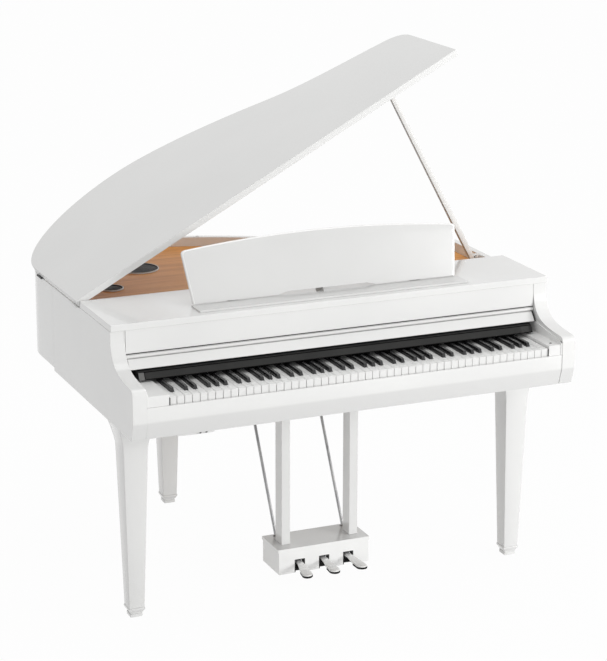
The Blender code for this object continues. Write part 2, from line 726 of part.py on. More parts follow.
def build_white(name, first, last):
    """White keys from first to last, one piece through the rail at their rear."""
    outline = []
    for index in range(first, last + 1):
        outline += white_outline(index)
    outline += [(outline[-1][0], KEY_REAR), (outline[0][0], KEY_REAR)]
    pivot = world(KEYBOARD_CENTRE, KEY_REAR - RAIL_LENGTH / 2, KEY_PIVOT_Z)
    pivot.x = world((outline[0][0] + outline[-2][0]) / 2, 0, 0).x
    return new_object(name, plan_prism(name, outline, KEY_BOTTOM, KEY_TOP), WHITE_KEY, pivot)


def black_profile():
    over = KEY_REAR - RAIL_LENGTH - 0.0015
    lifted = KEY_TOP + 0.0025
    tail = KEY_REAR + 0.0025
    return [
        (BLACK_FRONT, BLACK_BOTTOM),
        (over, BLACK_BOTTOM),
        (over, lifted),
        (tail, lifted),
        (tail, BLACK_BOTTOM),
        (BLACK_REAR, BLACK_BOTTOM),
        (BLACK_REAR, BLACK_TOP - 0.0015),
        (BLACK_FRONT + BLACK_SLOPE + 0.004, BLACK_TOP),
        (BLACK_FRONT + BLACK_SLOPE, BLACK_TOP - 0.0015),
        (BLACK_FRONT, KEY_TOP + 0.001),
    ]


def build_black(name, first, last):
    """Black keys that follow the white ones first to last, joined by a rear rail."""
    indices = [i for i in range(first, last + 1) if black_after(i)]
    centres = [black_centre(i) for i in indices]
    half = BLACK_WIDTH / 2
    rail = (KEY_REAR + 0.0025, BLACK_REAR)
    pivot = world((centres[0] + centres[-1]) / 2, sum(rail) / 2, KEY_PIVOT_Z)
    if len(centres) == 1:
        mesh = side_prism(name, black_profile(), centres[0] - half, centres[0] + half)
        return new_object(name, mesh, BLACK_KEY, pivot)
    mesh = block_mesh(name, centres[0] - half, centres[-1] + half, *rail, BLACK_BOTTOM, KEY_TOP)
    item = new_object(name, mesh, BLACK_KEY)
    for centre in centres:
        combine(item, side_prism("bar", black_profile(), centre - half, centre + half), "UNION")
    item.data.transform(Matrix.Translation(-pivot))
    item.location = pivot


def build_keys():
    last_single = FIRST_SINGLE + SINGLE_WHITES - 1
    build_white("keys_white_low", 0, FIRST_SINGLE - 1)
    build_white("keys_white_high", last_single + 1, WHITE_KEYS - 1)
    build_black("keys_black_low", 0, FIRST_SINGLE - 1)
    build_black("keys_black_high", last_single, FIRST_TOP - 1)
    build_black("keys_black_top", FIRST_TOP, WHITE_KEYS - 2)
    for index in range(FIRST_SINGLE, last_single + 1):
        letter = key_letter(index).lower()
        build_white("key_" + letter + "4", index, index)
        if black_after(index):
            build_black("key_" + letter + "_sharp4", index, index)


def lid_frame():
    """Hinge point of the lid and its directions across, along and out of its face."""
    hinge = world(-WIDTH / 2 - HINGE_OUT, 0, HINGE_Z)
    across = Vector((math.cos(LID_ANGLE), 0, math.sin(LID_ANGLE)))
    along = Vector((0, 1, 0))
    return hinge, across, along


def lid_point(x, d, z):
    """World point of a place given for the closed lid."""
    hinge, across, along = lid_frame()
    up = across.cross(along)
    return hinge + (x + WIDTH / 2 + HINGE_OUT) * across + d * along + (z - HINGE_Z) * up


def build_lid():
    hinge, across, along = lid_frame()
    start = BOARD_REAR + LID_FRONT_GAP
    outline = tail_curve(start, start)
    local = [(x + WIDTH / 2 + HINGE_OUT, d) for x, d in outline]
    bottom = HEIGHT_CLOSED - LID_THICKNESS - HINGE_Z
    middle = lid_point(-WIDTH / 2 - HINGE_OUT, (BOARD_REAR + DEPTH) / 2, HINGE_Z)
    mesh = prism_mesh("lid", local[::-1], hinge, across, along, bottom, bottom + LID_THICKNESS)
    item = new_object("lid", mesh, WHITE_LACQUER, middle)
    bevel(item, LID_BEVEL, 2)
    smooth(item)
    build_hinges(bottom)
    build_cup(bottom)


def hinge_barrels(middle):
    """Where the three barrels of a hinge start along the case, and their length."""
    third = LEAF_LENGTH / 3
    start = middle - LEAF_LENGTH / 2
    return start, start + third, start + 2 * third, third


def build_hinges(bottom):
    """Butt hinges between the rim's top and the lid, three barrels on one pin."""
    hinge, across, forward = lid_frame()
    along = Vector((0, 1, 0))
    x = -WIDTH / 2 - HINGE_OUT
    leaf_from = HINGE_OUT + GAP
    low = RIM_TOP + GAP
    for name, middle in HINGE_DEPTHS.items():
        first, second, last, third = hinge_barrels(middle)
        end = first + LEAF_LENGTH
        fixed = "hinge_" + name + "_case"
        mesh = block_mesh(fixed, x + leaf_from, x + LEAF_WIDTH, first, end, low, low + LEAF)
        item = new_object(fixed, mesh, DARK_METAL)
        for start in (first, last):
            arm = block_mesh("arm", x + HINGE_ARM, x + leaf_from + 0.001, start, start + third, low, low + LEAF)
            combine(item, arm, "UNION")
            begin = world(x, start, HINGE_Z)
            combine(item, rod_mesh("barrel", begin, begin + third * along, HINGE_RADIUS), "UNION")
        begin = world(x, first + 0.002, HINGE_Z)
        combine(item, rod_mesh("pin", begin, begin + (LEAF_LENGTH - 0.004) * along, PIN_RADIUS, 12), "UNION")
        smooth(item)
        moving = "hinge_" + name + "_lid"
        top = bottom - GAP
        leaf = [(leaf_from, first), (LEAF_WIDTH, first), (LEAF_WIDTH, end), (leaf_from, end)]
        mesh = prism_mesh(moving, leaf, hinge, across, forward, top - LEAF, top)
        item = new_object(moving, mesh, DARK_METAL)
        front, back = second + GAP, last - GAP
        start, stop = front + 0.0004, back - 0.0004
        arm = [(HINGE_ARM, start), (leaf_from + 0.001, start), (leaf_from + 0.001, stop), (HINGE_ARM, stop)]
        combine(item, prism_mesh("arm", arm, hinge, across, forward, top - LEAF + 0.0001, top - 0.0001), "UNION")
        begin = hinge + front * forward
        combine(item, rod_mesh("barrel", begin, begin + (back - front) * forward, HINGE_RADIUS), "UNION")
        begin = hinge + (front - 0.004) * forward
        bore = rod_mesh("bore", begin, begin + (back - front + 0.008) * forward, PIN_RADIUS + GAP, 12)
        combine(item, bore, "DIFFERENCE")
        smooth(item)


def prop_frame():
    """Pivot of the prop and its directions along the stick and across it."""
    pivot = world(PROP_PIVOT[0], PROP_DEPTH, PROP_PIVOT[1])
    along = Vector((-math.cos(PROP_ANGLE), 0, math.sin(PROP_ANGLE)))
    left = Vector((-math.sin(PROP_ANGLE), 0, -math.cos(PROP_ANGLE)))
    return pivot, along, left


def prop_length():
    """Distance from the pivot to the lid's underside, measured square to the lid."""
    hinge, across, forward = lid_frame()
    up = across.cross(forward)
    pivot = prop_frame()[0]
    bottom = HEIGHT_CLOSED - LID_THICKNESS - HINGE_Z
    return bottom - (pivot - hinge).dot(up)


def build_cup(bottom):
    """Block under the lid with a socket for the tip of the prop."""
    hinge, across, forward = lid_frame()
    pivot, along, left = prop_frame()
    centre = pivot + left * PROP_OFFSET_TIP + along * prop_length()
    a = (centre - hinge).dot(across)
    d = PROP_DEPTH - DEPTH / 2 - hinge.y
    outline = [(a - CUP_HALF, d - CUP_HALF), (a + CUP_HALF, d - CUP_HALF)]
    outline += [(a + CUP_HALF, d + CUP_HALF), (a - CUP_HALF, d + CUP_HALF)]
    mesh = prism_mesh("lid_cup", outline, hinge, across, forward, bottom - CUP_HEIGHT, bottom - GAP)
    item = new_object("lid_cup", mesh, BLACK_PLASTIC)
    u = PROP_WIDTH_TIP / 2 + 0.0006
    v = PROP_THICKNESS_TIP / 2 + 0.0006
    socket = [(a - 0.06, d - v), (a + u, d - v), (a + u, d + v), (a - 0.06, d + v)]
    cut = prism_mesh("socket", socket, hinge, across, forward, bottom - CUP_HEIGHT - 0.01, bottom - 0.0018)
    combine(item, cut, "DIFFERENCE")


def build_prop():
    pivot, along, left = prop_frame()
    forward = Vector((0, 1, 0))
    reach = prop_length() - 0.0018 - GAP
    foot = -0.004
    rings = []
    ends = (
        (foot, PROP_OFFSET_FOOT, PROP_WIDTH_FOOT, PROP_THICKNESS_FOOT),
        (reach, PROP_OFFSET_TIP, PROP_WIDTH_TIP, PROP_THICKNESS_TIP),
    )
    for where, offset, width, thickness in ends:
        centre = pivot + along * where + left * offset
        rings.append(ring_about(centre, left, forward, width / 2, thickness / 2))
    item = new_object("lid_prop", loft_mesh("lid_prop", rings), WHITE_LACQUER)
    lug = prop_eye(pivot, forward)
    combine(item, lug, "UNION")
    bore = rod_mesh("bore", pivot - forward * 0.02, pivot + forward * 0.02, PROP_PIN + GAP, 16)
    combine(item, bore, "DIFFERENCE")
    item.data.transform(Matrix.Translation(-pivot))
    item.location = pivot
    smooth(item)
    side = WIDTH / 2 - PANEL - GAP
    ear = PROP_THICKNESS_FOOT / 2 + 0.0006
    far = PROP_DEPTH + ear
    x, z = PROP_PIVOT
    plate = block_mesh("prop_bracket", x - 0.005, side, far, far + 0.003, z - 0.0234, z + 0.0066)
    bracket = new_object("prop_bracket", plate, DARK_METAL)
    near = PROP_DEPTH - ear
    base = block_mesh("base", side - 0.003, side, near - 0.003, far + 0.003, z - 0.0274, z + 0.0001)
    combine(bracket, base, "UNION")
    pin = rod_mesh("pin", pivot - forward * (ear + 0.0022), pivot + forward * (ear + 0.001), PROP_PIN, 16)
    combine(bracket, pin, "UNION")
    smooth(bracket)


def prop_eye(pivot, forward):
    """Rounded eye at the prop's foot, round its pivot pin."""
    start = pivot - forward * PROP_THICKNESS_FOOT / 2
    return rod_mesh("lug", start, start + forward * PROP_THICKNESS_FOOT, 0.0085, 20)


def desk_frame():
    """Front lower edge of the desk, the direction up its face and the one behind it."""
    foot = world(DESK_CENTRE, *DESK_FOOT)
    up = Vector((0, math.sin(DESK_TILT), math.cos(DESK_TILT)))
    back = Vector((0, math.cos(DESK_TILT), -math.sin(DESK_TILT)))
    return foot, up, back


def desk_point(up_by, back_by):
    """Point in the desk's middle plane, up its face and behind its back."""
    foot, up, back = desk_frame()
    return foot + up * up_by + back * (DESK_THICKNESS + back_by)


def desk_outline():
    """Front view of the desk: notched foot, flared sides and a crowned top."""
    points = [(-DESK_HALF_BOTTOM, 0.0), (-NOTCH_HALF_FOOT, 0.0), (-NOTCH_HALF_TOP, NOTCH_HEIGHT)]
    points += [(NOTCH_HALF_TOP, NOTCH_HEIGHT), (NOTCH_HALF_FOOT, 0.0), (DESK_HALF_BOTTOM, 0.0)]
    half = DESK_HALF_TOP - DESK_CORNER
    lift = 0.002
    corner = bezier(
        (DESK_HALF_TOP - 0.001, DESK_SIDE - DESK_CORNER),
        (DESK_HALF_TOP, DESK_SIDE - 0.004),
        (DESK_HALF_TOP - 0.004, DESK_SIDE + 0.0005),
        (half, DESK_SIDE + lift),
        4,
    )
    points += corner
    steps = 14
    for i in range(steps + 1):
        x = half - 2 * half * i / steps
        points.append((x, DESK_SIDE + lift + DESK_CROWN * (1 - (x / half) ** 2)))
    points += [(-x, z) for x, z in corner[::-1]]
    return points


def desk_lug(x, width, up_by, back_by):
    """Block behind the desk round an axis, and the bore through it."""
    foot, up, back = desk_frame()
    side = Vector((1, 0, 0))
    start = foot + side * x
    near = DESK_THICKNESS - 0.002
    far = DESK_THICKNESS + back_by + LUG_MARGIN
    low, high = up_by - LUG_MARGIN, up_by + LUG_MARGIN
    outline = [(low, near), (high, near), (high, far), (low, far)]
    block = prism_mesh("lug", outline, start, up, back, -width, width)
    centre = desk_point(up_by, back_by) + side * x
    reach = side * (width + 0.01)
    return block, rod_mesh("bore", centre - reach, centre + reach, DESK_PIN + GAP, 12)


def build_desk():
    foot, up, back = desk_frame()
    side = Vector((1, 0, 0))
    pivot = desk_point(DESK_PIVOT_UP, DESK_PIVOT_BACK)
    mesh = prism_mesh("music_desk", desk_outline(), foot, side, up, -DESK_THICKNESS, 0.0)
    desk = new_object("music_desk", mesh, WHITE_LACQUER)
    for place in (-DESK_LUG_X, DESK_LUG_X):
        block, bore = desk_lug(place, DESK_LUG, DESK_PIVOT_UP, DESK_PIVOT_BACK)
        combine(desk, block, "UNION")
        combine(desk, bore, "DIFFERENCE")
    hook = STAY_HALF + GAP + 0.002
    hinge = desk_point(STAY_UP, DESK_PIVOT_BACK)
    for place in (-hook, hook):
        block, bore = desk_lug(place, 0.002, STAY_UP, DESK_PIVOT_BACK)
        combine(desk, block, "UNION")
    reach = side * (hook + 0.001)
    combine(desk, rod_mesh("pin", hinge - reach, hinge + reach, DESK_PIN, 12), "UNION")
    desk.data.transform(Matrix.Translation(-pivot))
    desk.location = pivot
    smooth(desk)
    build_desk_rail(pivot)
    build_desk_stay(hinge)


def build_desk_rail(pivot):
    """Ledge in front of the desk, with the ears and pins on which it tips."""
    z0 = HEIGHT_CLOSED + GAP
    c = DESK_CENTRE
    side = Vector((1, 0, 0))
    mesh = block_mesh("desk_rail", c - RAIL_HALF, c + RAIL_HALF, RAIL_FRONT, RAIL_BACK, z0, RAIL_TOP)
    rail = new_object("desk_rail", mesh, WHITE_LACQUER)
    lip = block_mesh("lip", c - RAIL_HALF, c + RAIL_HALF, RAIL_FRONT, RAIL_FRONT + 0.006, z0, RAIL_TOP + RAIL_LIP)
    combine(rail, lip, "UNION")
    d = pivot.y + DEPTH / 2
    for turn in (-1, 1):
        inner = turn * (DESK_LUG_X + DESK_LUG + 0.0004)
        outer = inner + turn * 0.004
        span = sorted((c + inner, c + outer))
        plate = sorted((c + turn * (DESK_LUG_X - DESK_LUG), c + outer))
        strip = block_mesh("plate", *plate, RAIL_BACK - 0.002, d + 0.006, z0, RAIL_PLATE_TOP)
        combine(rail, strip, "UNION")
        reach = 0.6 * DESK_PIVOT_BACK
        ear = block_mesh("ear", *span, d - reach, d + 0.006, z0, pivot.z + reach)
        combine(rail, ear, "UNION")
        start = pivot + side * (outer - turn * 0.001)
        end = pivot + side * turn * (DESK_LUG_X - DESK_LUG + 0.002)
        combine(rail, rod_mesh("pin", start, end, DESK_PIN, 12), "UNION")
    smooth(rail)


def build_desk_stay(hinge):
    """Strut from the back of the desk down to the top board."""
    side = Vector((1, 0, 0))
    foot = Vector((hinge.x, hinge.y + STAY_REACH, HEIGHT_CLOSED + 0.0016))
    down = (foot - hinge).normalized()
    normal = side.cross(down)
    length = (foot - hinge).length
    rings = []
    for where in (0.001, length):
        centre = hinge + down * where
        rings.append(ring_about(centre, side, normal, STAY_HALF, STAY_THICKNESS / 2))
    stay = new_object("desk_stay", loft_mesh("desk_stay", rings), DARK_METAL)
    reach = side * STAY_HALF
    combine(stay, rod_mesh("eye", hinge - reach, hinge + reach, 0.0040, 16), "UNION")
    reach = side * (STAY_HALF + 0.01)
    combine(stay, rod_mesh("bore", hinge - reach, hinge + reach, DESK_PIN + GAP, 12), "DIFFERENCE")
    stay.data.transform(Matrix.Translation(-hinge))
    stay.location = hinge
    smooth(stay)


def leg_half(z):
    """Half width of a leg at a height: a straight taper, then a hollow flare."""
    straight = LEG_HALF_FLOOR + LEG_HALF_SLOPE * z
    if z <= LEG_FLARE_START:
        return straight
    part = (z - LEG_FLARE_START) / (CASE_BOTTOM - LEG_FLARE_START)
    base = LEG_HALF_FLOOR + LEG_HALF_SLOPE * LEG_FLARE_START
    return base + (LEG_FLARE_TOP - base) * min(part, 1.0) ** LEG_FLARE_POWER


def build_leg(name, x, d, top):
    u = Vector((1, 0, 0))
    v = Vector((0, 1, 0))
    heights = [FOOT_HEIGHT + GAP, LEG_FLARE_START]
    steps = 5
    heights += [LEG_FLARE_START + (CASE_BOTTOM - LEG_FLARE_START) * i / steps for i in range(1, steps)]
    heights += [top - GAP]
    rings = [ring_about(world(x, d, z), u, v, leg_half(z), leg_half(z)) for z in heights]
    item = new_object("leg_" + name, loft_mesh("leg_" + name, rings), WHITE_LACQUER)
    smooth(item, 30)
    groove = FOOT_HALF - FOOT_GROOVE
    levels = [
        (0.0, FOOT_HALF - 0.0008),
        (0.0008, FOOT_HALF),
        (FOOT_GROOVE_Z - 0.0035, FOOT_HALF),
        (FOOT_GROOVE_Z - 0.0030, groove),
        (FOOT_GROOVE_Z, groove),
        (FOOT_GROOVE_Z + 0.0005, FOOT_HALF + 0.0008),
        (FOOT_HEIGHT - 0.0050, FOOT_LEDGE_HALF),
        (FOOT_HEIGHT, FOOT_LEDGE_HALF),
    ]
    rings = [ring_about(world(x, d, z), u, v, half, half) for z, half in levels]
    new_object("foot_" + name, loft_mesh("foot_" + name, rings), WHITE_LACQUER)


def build_lyre():
    for side, name in ((-1, "left"), (1, "right")):
        x = side * POST_X
        x0 = x - POST_WIDTH / 2
        d0 = POST_D - POST_DEPTH / 2
        mesh = block_mesh("post", x0, x0 + POST_WIDTH, d0, d0 + POST_DEPTH, BOX_TOP + GAP, CASE_BOTTOM - GAP)
        bevel(new_object("lyre_post_" + name, mesh, WHITE_LACQUER), 0.0015)
        rod = build_rod("lyre_rod_" + name, x)
        smooth(rod)
    build_pedal_box()
    for index, name in enumerate(("left", "middle", "right")):
        build_pedal("pedal_" + name, (index - 1) * PEDAL_SPACING, (index - 1) * PEDAL_FAN)


def build_rod(name, x):
    """Steel stay from the pedal box up to the case, with ends cut level."""
    u = Vector((1, 0, 0))
    v = Vector((0, 1, 0))
    top = TAIL_BOTTOM - GAP
    lean = (ROD_HEAD_D - ROD_FOOT_D) / (CASE_BOTTOM - BOX_TOP)
    rings = []
    for z in (BOX_TOP + GAP, top):
        centre = world(x, ROD_FOOT_D + lean * (z - BOX_TOP), z)
        stretch = math.sqrt(1 + lean ** 2)
        turns = [2 * math.pi * i / 12 for i in range(12)]
        ring = [math.cos(t) * u + stretch * math.sin(t) * v for t in turns]
        rings.append([centre + ROD_RADIUS * spoke for spoke in ring])
    return new_object(name, loft_mesh(name, rings), STEEL)


def build_pedal_box():
    mesh = block_mesh("pedal_box", -BOX_HALF, BOX_HALF, BOX_FRONT, BOX_REAR, BOX_BOTTOM, BOX_TOP)
    box = new_object("pedal_box", mesh, WHITE_LACQUER)
    wide = BOX_HALF + BOX_LIP
    rear = BOX_REAR + BOX_LIP
    lip = block_mesh("lip", -wide, wide, BOX_FRONT, rear, BOX_TOP - BOX_LIP_HEIGHT, BOX_TOP)
    combine(box, lip, "UNION")
    w = BOX_WALL
    plan = (-BOX_HALF + w, BOX_HALF - w, BOX_FRONT + w, BOX_REAR - w)
    inside = block_mesh("inside", *plan, BOX_BOTTOM - 0.01, BOX_TOP - w - 0.004)
    combine(box, inside, "DIFFERENCE")
    for index in (-1, 0, 1):
        x = index * PEDAL_SPACING
        plan = (x - SLOT_HALF, x + SLOT_HALF, BOX_FRONT - 0.01, BOX_FRONT + w + 0.004)
        slot = block_mesh("slot", *plan, BOX_BOTTOM - 0.01, SLOT_TOP)
        combine(box, slot, "DIFFERENCE")
    reach = BOX_HALF - BOX_WALL + 0.002
    shaft = rod_mesh("shaft", world(-reach, *PEDAL_PIVOT), world(reach, *PEDAL_PIVOT), PEDAL_SHAFT, 16)
    combine(box, shaft, "UNION")


def build_pedal(name, x, fan):
    """Pedal lever with a neck inside the box and a rounded pad in front."""
    u = Vector((1, 0, 0))
    v = Vector((0, 0, 1))
    half = PEDAL_THICKNESS / 2
    pad_d = PEDAL_TIP_D + PEDAL_PAD
    stations = [(PEDAL_PIVOT[0], PEDAL_NECK, PEDAL_PIVOT[1])]
    neck_z = PEDAL_PIVOT[1]
    stations += [(BOX_FRONT + 0.004, PEDAL_NECK, neck_z)]
    stations += [(BOX_FRONT - 0.030, PEDAL_NECK + 0.0022, neck_z - 0.0025)]
    stations += [(pad_d + 0.020, PEDAL_PAD - 0.0006, neck_z - 0.0060)]
    steps = 6
    for i in range(steps):
        turn = math.pi / 2 * i / steps
        stations.append((pad_d - PEDAL_PAD * math.sin(turn), PEDAL_PAD * math.cos(turn), neck_z - 0.0075))
    rings = []
    for d, width, z in stations:
        lean = fan * max(0.0, BOX_FRONT - d) / (BOX_FRONT - pad_d)
        rings.append(ring_about(world(x + lean, d, z), u, v, width, half))
    pivot = world(x, *PEDAL_PIVOT)
    item = new_object(name, loft_mesh(name, rings), CHROME)
    reach = u * PEDAL_NECK
    combine(item, rod_mesh("boss", pivot - reach, pivot + reach, PEDAL_BOSS, 20), "UNION")
    combine(item, rod_mesh("bore", pivot - 2 * reach, pivot + 2 * reach, PEDAL_SHAFT + GAP, 16), "DIFFERENCE")
    item.data.transform(Matrix.Translation(-pivot))
    item.location = pivot
    smooth(item)


def build_electronics():
    x0, x1, d0, d1, z0 = JACK_BOX
    mesh = block_mesh("jack_box", x0, x1, d0, d1, z0, CASE_BOTTOM - GAP)
    box = new_object("jack_box", mesh, WHITE_SATIN)
    for x in JACK_X:
        front = world(x, d0 - 0.004, z0 + JACK_RADIUS + 0.0004)
        combine(box, rod_mesh("jack", front, front + Vector((0, 0.008, 0)), JACK_RADIUS, 16), "UNION")
    smooth(box)
    floor = TAIL_BOTTOM + BASE_THICKNESS + GAP
    x0, x1, d0, d1 = MAIN_BOARD
    mesh = block_mesh("main_board", x0, x1, d0, d1, floor, floor + 0.008)
    board = new_object("main_board", mesh, BOARD_GREEN)
    chip = block_mesh("chips", x0 + 0.05, x1 - 0.08, d0 + 0.03, d1 - 0.04, floor, floor + 0.014)
    combine(board, chip, "UNION")
    x0, x1, d0, d1 = POWER_SUPPLY
    mesh = block_mesh("power_supply", x0, x1, d0, d1, floor, floor + 0.045)
    supply = new_object("power_supply", mesh, DARK_METAL)
    bevel(supply, 0.002)


def main():
    clear_scene()
    build_sides()
    build_rim()
    build_case_panels()
    build_speaker_board()
    build_front()
    build_control_strip()
    build_key_cover()
    build_slip_and_blocks()
    build_keys()
    build_lid()
    build_prop()
    build_desk()
    build_leg("front_left", -LEG_X, LEG_D, CASE_BOTTOM)
    build_leg("front_right", LEG_X, LEG_D, CASE_BOTTOM)
    build_leg("rear", REAR_LEG_X, REAR_LEG_D, TAIL_BOTTOM)
    build_lyre()
    build_electronics()


main()
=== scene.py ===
"""White digital grand piano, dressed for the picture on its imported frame.

Every piece is built at the origin in the frame's own metres: X runs to the
treble end, Y to the tail and Z up. Depths are written as the distance behind
the front face of the case, as a maker's drawing gives them.
"""
import logging
import math
from dataclasses import dataclass, field
from enum import Enum
from typing import Callable, ClassVar, Iterable, Sequence

import bmesh
import bpy
from mathutils import Euler, Matrix, Vector


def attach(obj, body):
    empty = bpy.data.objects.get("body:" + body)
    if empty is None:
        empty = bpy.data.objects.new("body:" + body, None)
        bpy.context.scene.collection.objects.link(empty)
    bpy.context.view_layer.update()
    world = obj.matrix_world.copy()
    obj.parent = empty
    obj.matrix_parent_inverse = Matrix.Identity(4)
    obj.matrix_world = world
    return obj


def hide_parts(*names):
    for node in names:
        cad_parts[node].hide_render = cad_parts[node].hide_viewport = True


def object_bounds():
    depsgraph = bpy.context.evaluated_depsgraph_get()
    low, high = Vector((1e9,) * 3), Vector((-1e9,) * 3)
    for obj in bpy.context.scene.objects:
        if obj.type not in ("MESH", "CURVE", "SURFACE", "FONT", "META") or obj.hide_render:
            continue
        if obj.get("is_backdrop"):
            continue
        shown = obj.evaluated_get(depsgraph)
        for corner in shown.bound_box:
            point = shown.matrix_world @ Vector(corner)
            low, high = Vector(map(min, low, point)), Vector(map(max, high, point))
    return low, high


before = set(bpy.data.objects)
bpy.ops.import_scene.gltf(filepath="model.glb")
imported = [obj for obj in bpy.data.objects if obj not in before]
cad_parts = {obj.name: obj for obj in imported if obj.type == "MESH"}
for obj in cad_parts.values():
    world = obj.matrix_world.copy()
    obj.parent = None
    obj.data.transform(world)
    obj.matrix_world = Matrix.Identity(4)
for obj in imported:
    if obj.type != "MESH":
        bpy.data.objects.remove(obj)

CAD_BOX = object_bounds()
LOG = logging.getLogger("piano")

Plan = list[tuple[float, float]]
Ring = list[Vector]


class Body(str, Enum):
    """Bodies of the frame that the pieces ride on."""

    CASE = "case"
    LID = "lid_body"
    PROP = "prop_body"
    COVER = "cover_body"
    DESK = "desk_body"
    STAY = "stay_body"
    BUTTON = "button_body"


class Axis(Enum):
    """Direction that a brushed finish runs along."""

    X = (1.0, 0.0, 0.0)
    Y = (0.0, 1.0, 0.0)
    Z = (0.0, 0.0, 1.0)


@dataclass(frozen=True)
class Measures:
    """Sizes that several sub-assemblies share, in metres."""

    side: float = 0.715
    depth: float = 1.237
    top: float = 0.932
    rim_top: float = 0.909
    panel: float = 0.022
    arm: float = 0.044
    gap: float = 0.0003
    case_bottom: float = 0.635
    tail_bottom: float = 0.645
    key_top: float = 0.7555
    shift: float = 0.005136

    def at(self, x: float, d: float, z: float) -> Vector:
        """Point of the frame for a place on the drawing.

        Args:
            x: Sideways position from the case's middle.
            d: Depth behind the front face.
            z: Height from the floor.

        Returns:
            The point in the frame's axes.
        """
        return Vector((x + self.shift, d - self.depth / 2, z))


M = Measures()
ORIGIN = Vector((0, 0, 0))
RIGHT = Vector((1, 0, 0))
BACK = Vector((0, 1, 0))
UP = Vector((0, 0, 1))
HEAD_DOWN = Euler((math.pi, 0, 0))
SMOOTH = 35.0
WELD = 0.000002
CAD_WELD = 0.00002
CAD_FLAT = math.radians(1.0)
HAIR = 0.0001
WHITE_LIGHT = (1.0, 1.0, 1.0, 1.0)


# Node trees


class Wiring:
    """Short-hand for adding nodes to a tree with their values and links."""

    def __init__(self, tree: bpy.types.NodeTree) -> None:
        """Takes the tree to work on."""
        self.tree = tree

    def node(self, kind: str, links: dict | None = None, **settings: object) -> bpy.types.Node:
        """Adds a node.

        Args:
            kind: Node type.
            links: Input names or numbers, with the socket or value for each.
            settings: Properties of the node.

        Returns:
            The node.
        """
        made = self.tree.nodes.new(kind)
        for key, value in settings.items():
            setattr(made, key, value)
        for key, value in (links or {}).items():
            if isinstance(value, bpy.types.NodeSocket):
                self.tree.links.new(value, made.inputs[key])
            else:
                made.inputs[key].default_value = value
        return made

    def maths(self, operation: str, a: object, b: object = 0.0, c: object = 0.0) -> bpy.types.NodeSocket:
        """Result of one sum on sockets or numbers."""
        return self.node("ShaderNodeMath", {0: a, 1: b, 2: c}, operation=operation).outputs[0]


class Tree(Wiring):
    """One material's nodes round its Principled shader."""

    def __init__(self, name: str) -> None:
        """Starts a material.

        Args:
            name: Name of the material.
        """
        self.material = bpy.data.materials.new(name)
        self.material.use_nodes = True
        super().__init__(self.material.node_tree)
        self.shader = self.tree.nodes["Principled BSDF"]
        self.coordinates = self.node("ShaderNodeTexCoord").outputs
        self.place = self.coordinates["Object"]

    def set(self, **values: object) -> None:
        """Writes constant values on the shader's own sockets.

        Args:
            values: Socket names, with _ for a space, and their values.
        """
        for key, value in values.items():
            self.shader.inputs[key.replace("_", " ")].default_value = value

    def stretched(self, scale: Sequence[float], turn: Sequence[float] = (0, 0, 0)) -> bpy.types.NodeSocket:
        """Object coordinates, scaled along each axis and turned by radians."""
        return self.node("ShaderNodeMapping",
                         {"Vector": self.place, "Scale": scale, "Rotation": turn}).outputs["Vector"]

    def noise(self, scale: float, detail: float = 2.0, rough: float = 0.5,
              where: bpy.types.NodeSocket | None = None) -> bpy.types.NodeSocket:
        """Noise texture.

        Args:
            scale: Cells to a metre.
            detail: Octaves of detail.
            rough: Weight of the finer octaves.
            where: Coordinates, or None for Object coordinates.

        Returns:
            The socket with its value.
        """
        node = self.node("ShaderNodeTexNoise", {
            "Vector": where or self.place, "Scale": scale, "Detail": detail, "Roughness": rough})
        return node.outputs["Fac"]

    def ramp(self, value: bpy.types.NodeSocket, stops: Sequence[tuple]) -> bpy.types.NodeSocket:
        """Colour ramp over a value.

        Args:
            value: Socket with the value.
            stops: Positions and their linear colours.

        Returns:
            The socket with the colour.
        """
        node = self.node("ShaderNodeValToRGB", {"Fac": value})
        elements = node.color_ramp.elements
        while len(elements) < len(stops):
            elements.new(0.5)
        for element, (position, colour) in zip(elements, stops):
            element.position = position
            element.color = (*colour, 1.0)
        return node.outputs["Color"]

    def spread(self, value: bpy.types.NodeSocket, low: float, high: float,
               start: float = 0.3, end: float = 0.7) -> bpy.types.NodeSocket:
        """Maps a texture's middle range to a span of values.

        Args:
            value: Socket with the value.
            low: Result at the start.
            high: Result at the end.
            start: Value that gives low.
            end: Value that gives high.

        Returns:
            The socket with the result.
        """
        node = self.node("ShaderNodeMapRange", {
            "Value": value, "From Min": start, "From Max": end, "To Min": low, "To Max": high})
        return node.outputs["Result"]

    def mix(self, share: bpy.types.NodeSocket, a: bpy.types.NodeSocket,
            b: Sequence[float]) -> bpy.types.NodeSocket:
        """Mixes a share of the plain linear colour b into a."""
        return self.node("ShaderNodeMix", {0: share, 6: a, 7: (*b, 1.0)}, data_type="RGBA").outputs[2]

    def total(self, a: bpy.types.NodeSocket, b: bpy.types.NodeSocket, share: float) -> bpy.types.NodeSocket:
        """Adds a share of the value b to the value a."""
        return self.maths("MULTIPLY_ADD", b, share, a)

    def bump(self, height: bpy.types.NodeSocket, strength: float, distance: float) -> None:
        """Leads a height into the shader's normal, full height being the distance in metres."""
        node = self.node("ShaderNodeBump", {"Height": height, "Strength": strength, "Distance": distance})
        self.feed("Normal", node.outputs["Normal"])

    def feed(self, key: str, value: bpy.types.NodeSocket) -> None:
        """Leads a socket into one of the shader's inputs."""
        self.tree.links.new(value, self.shader.inputs[key])


# Finishes


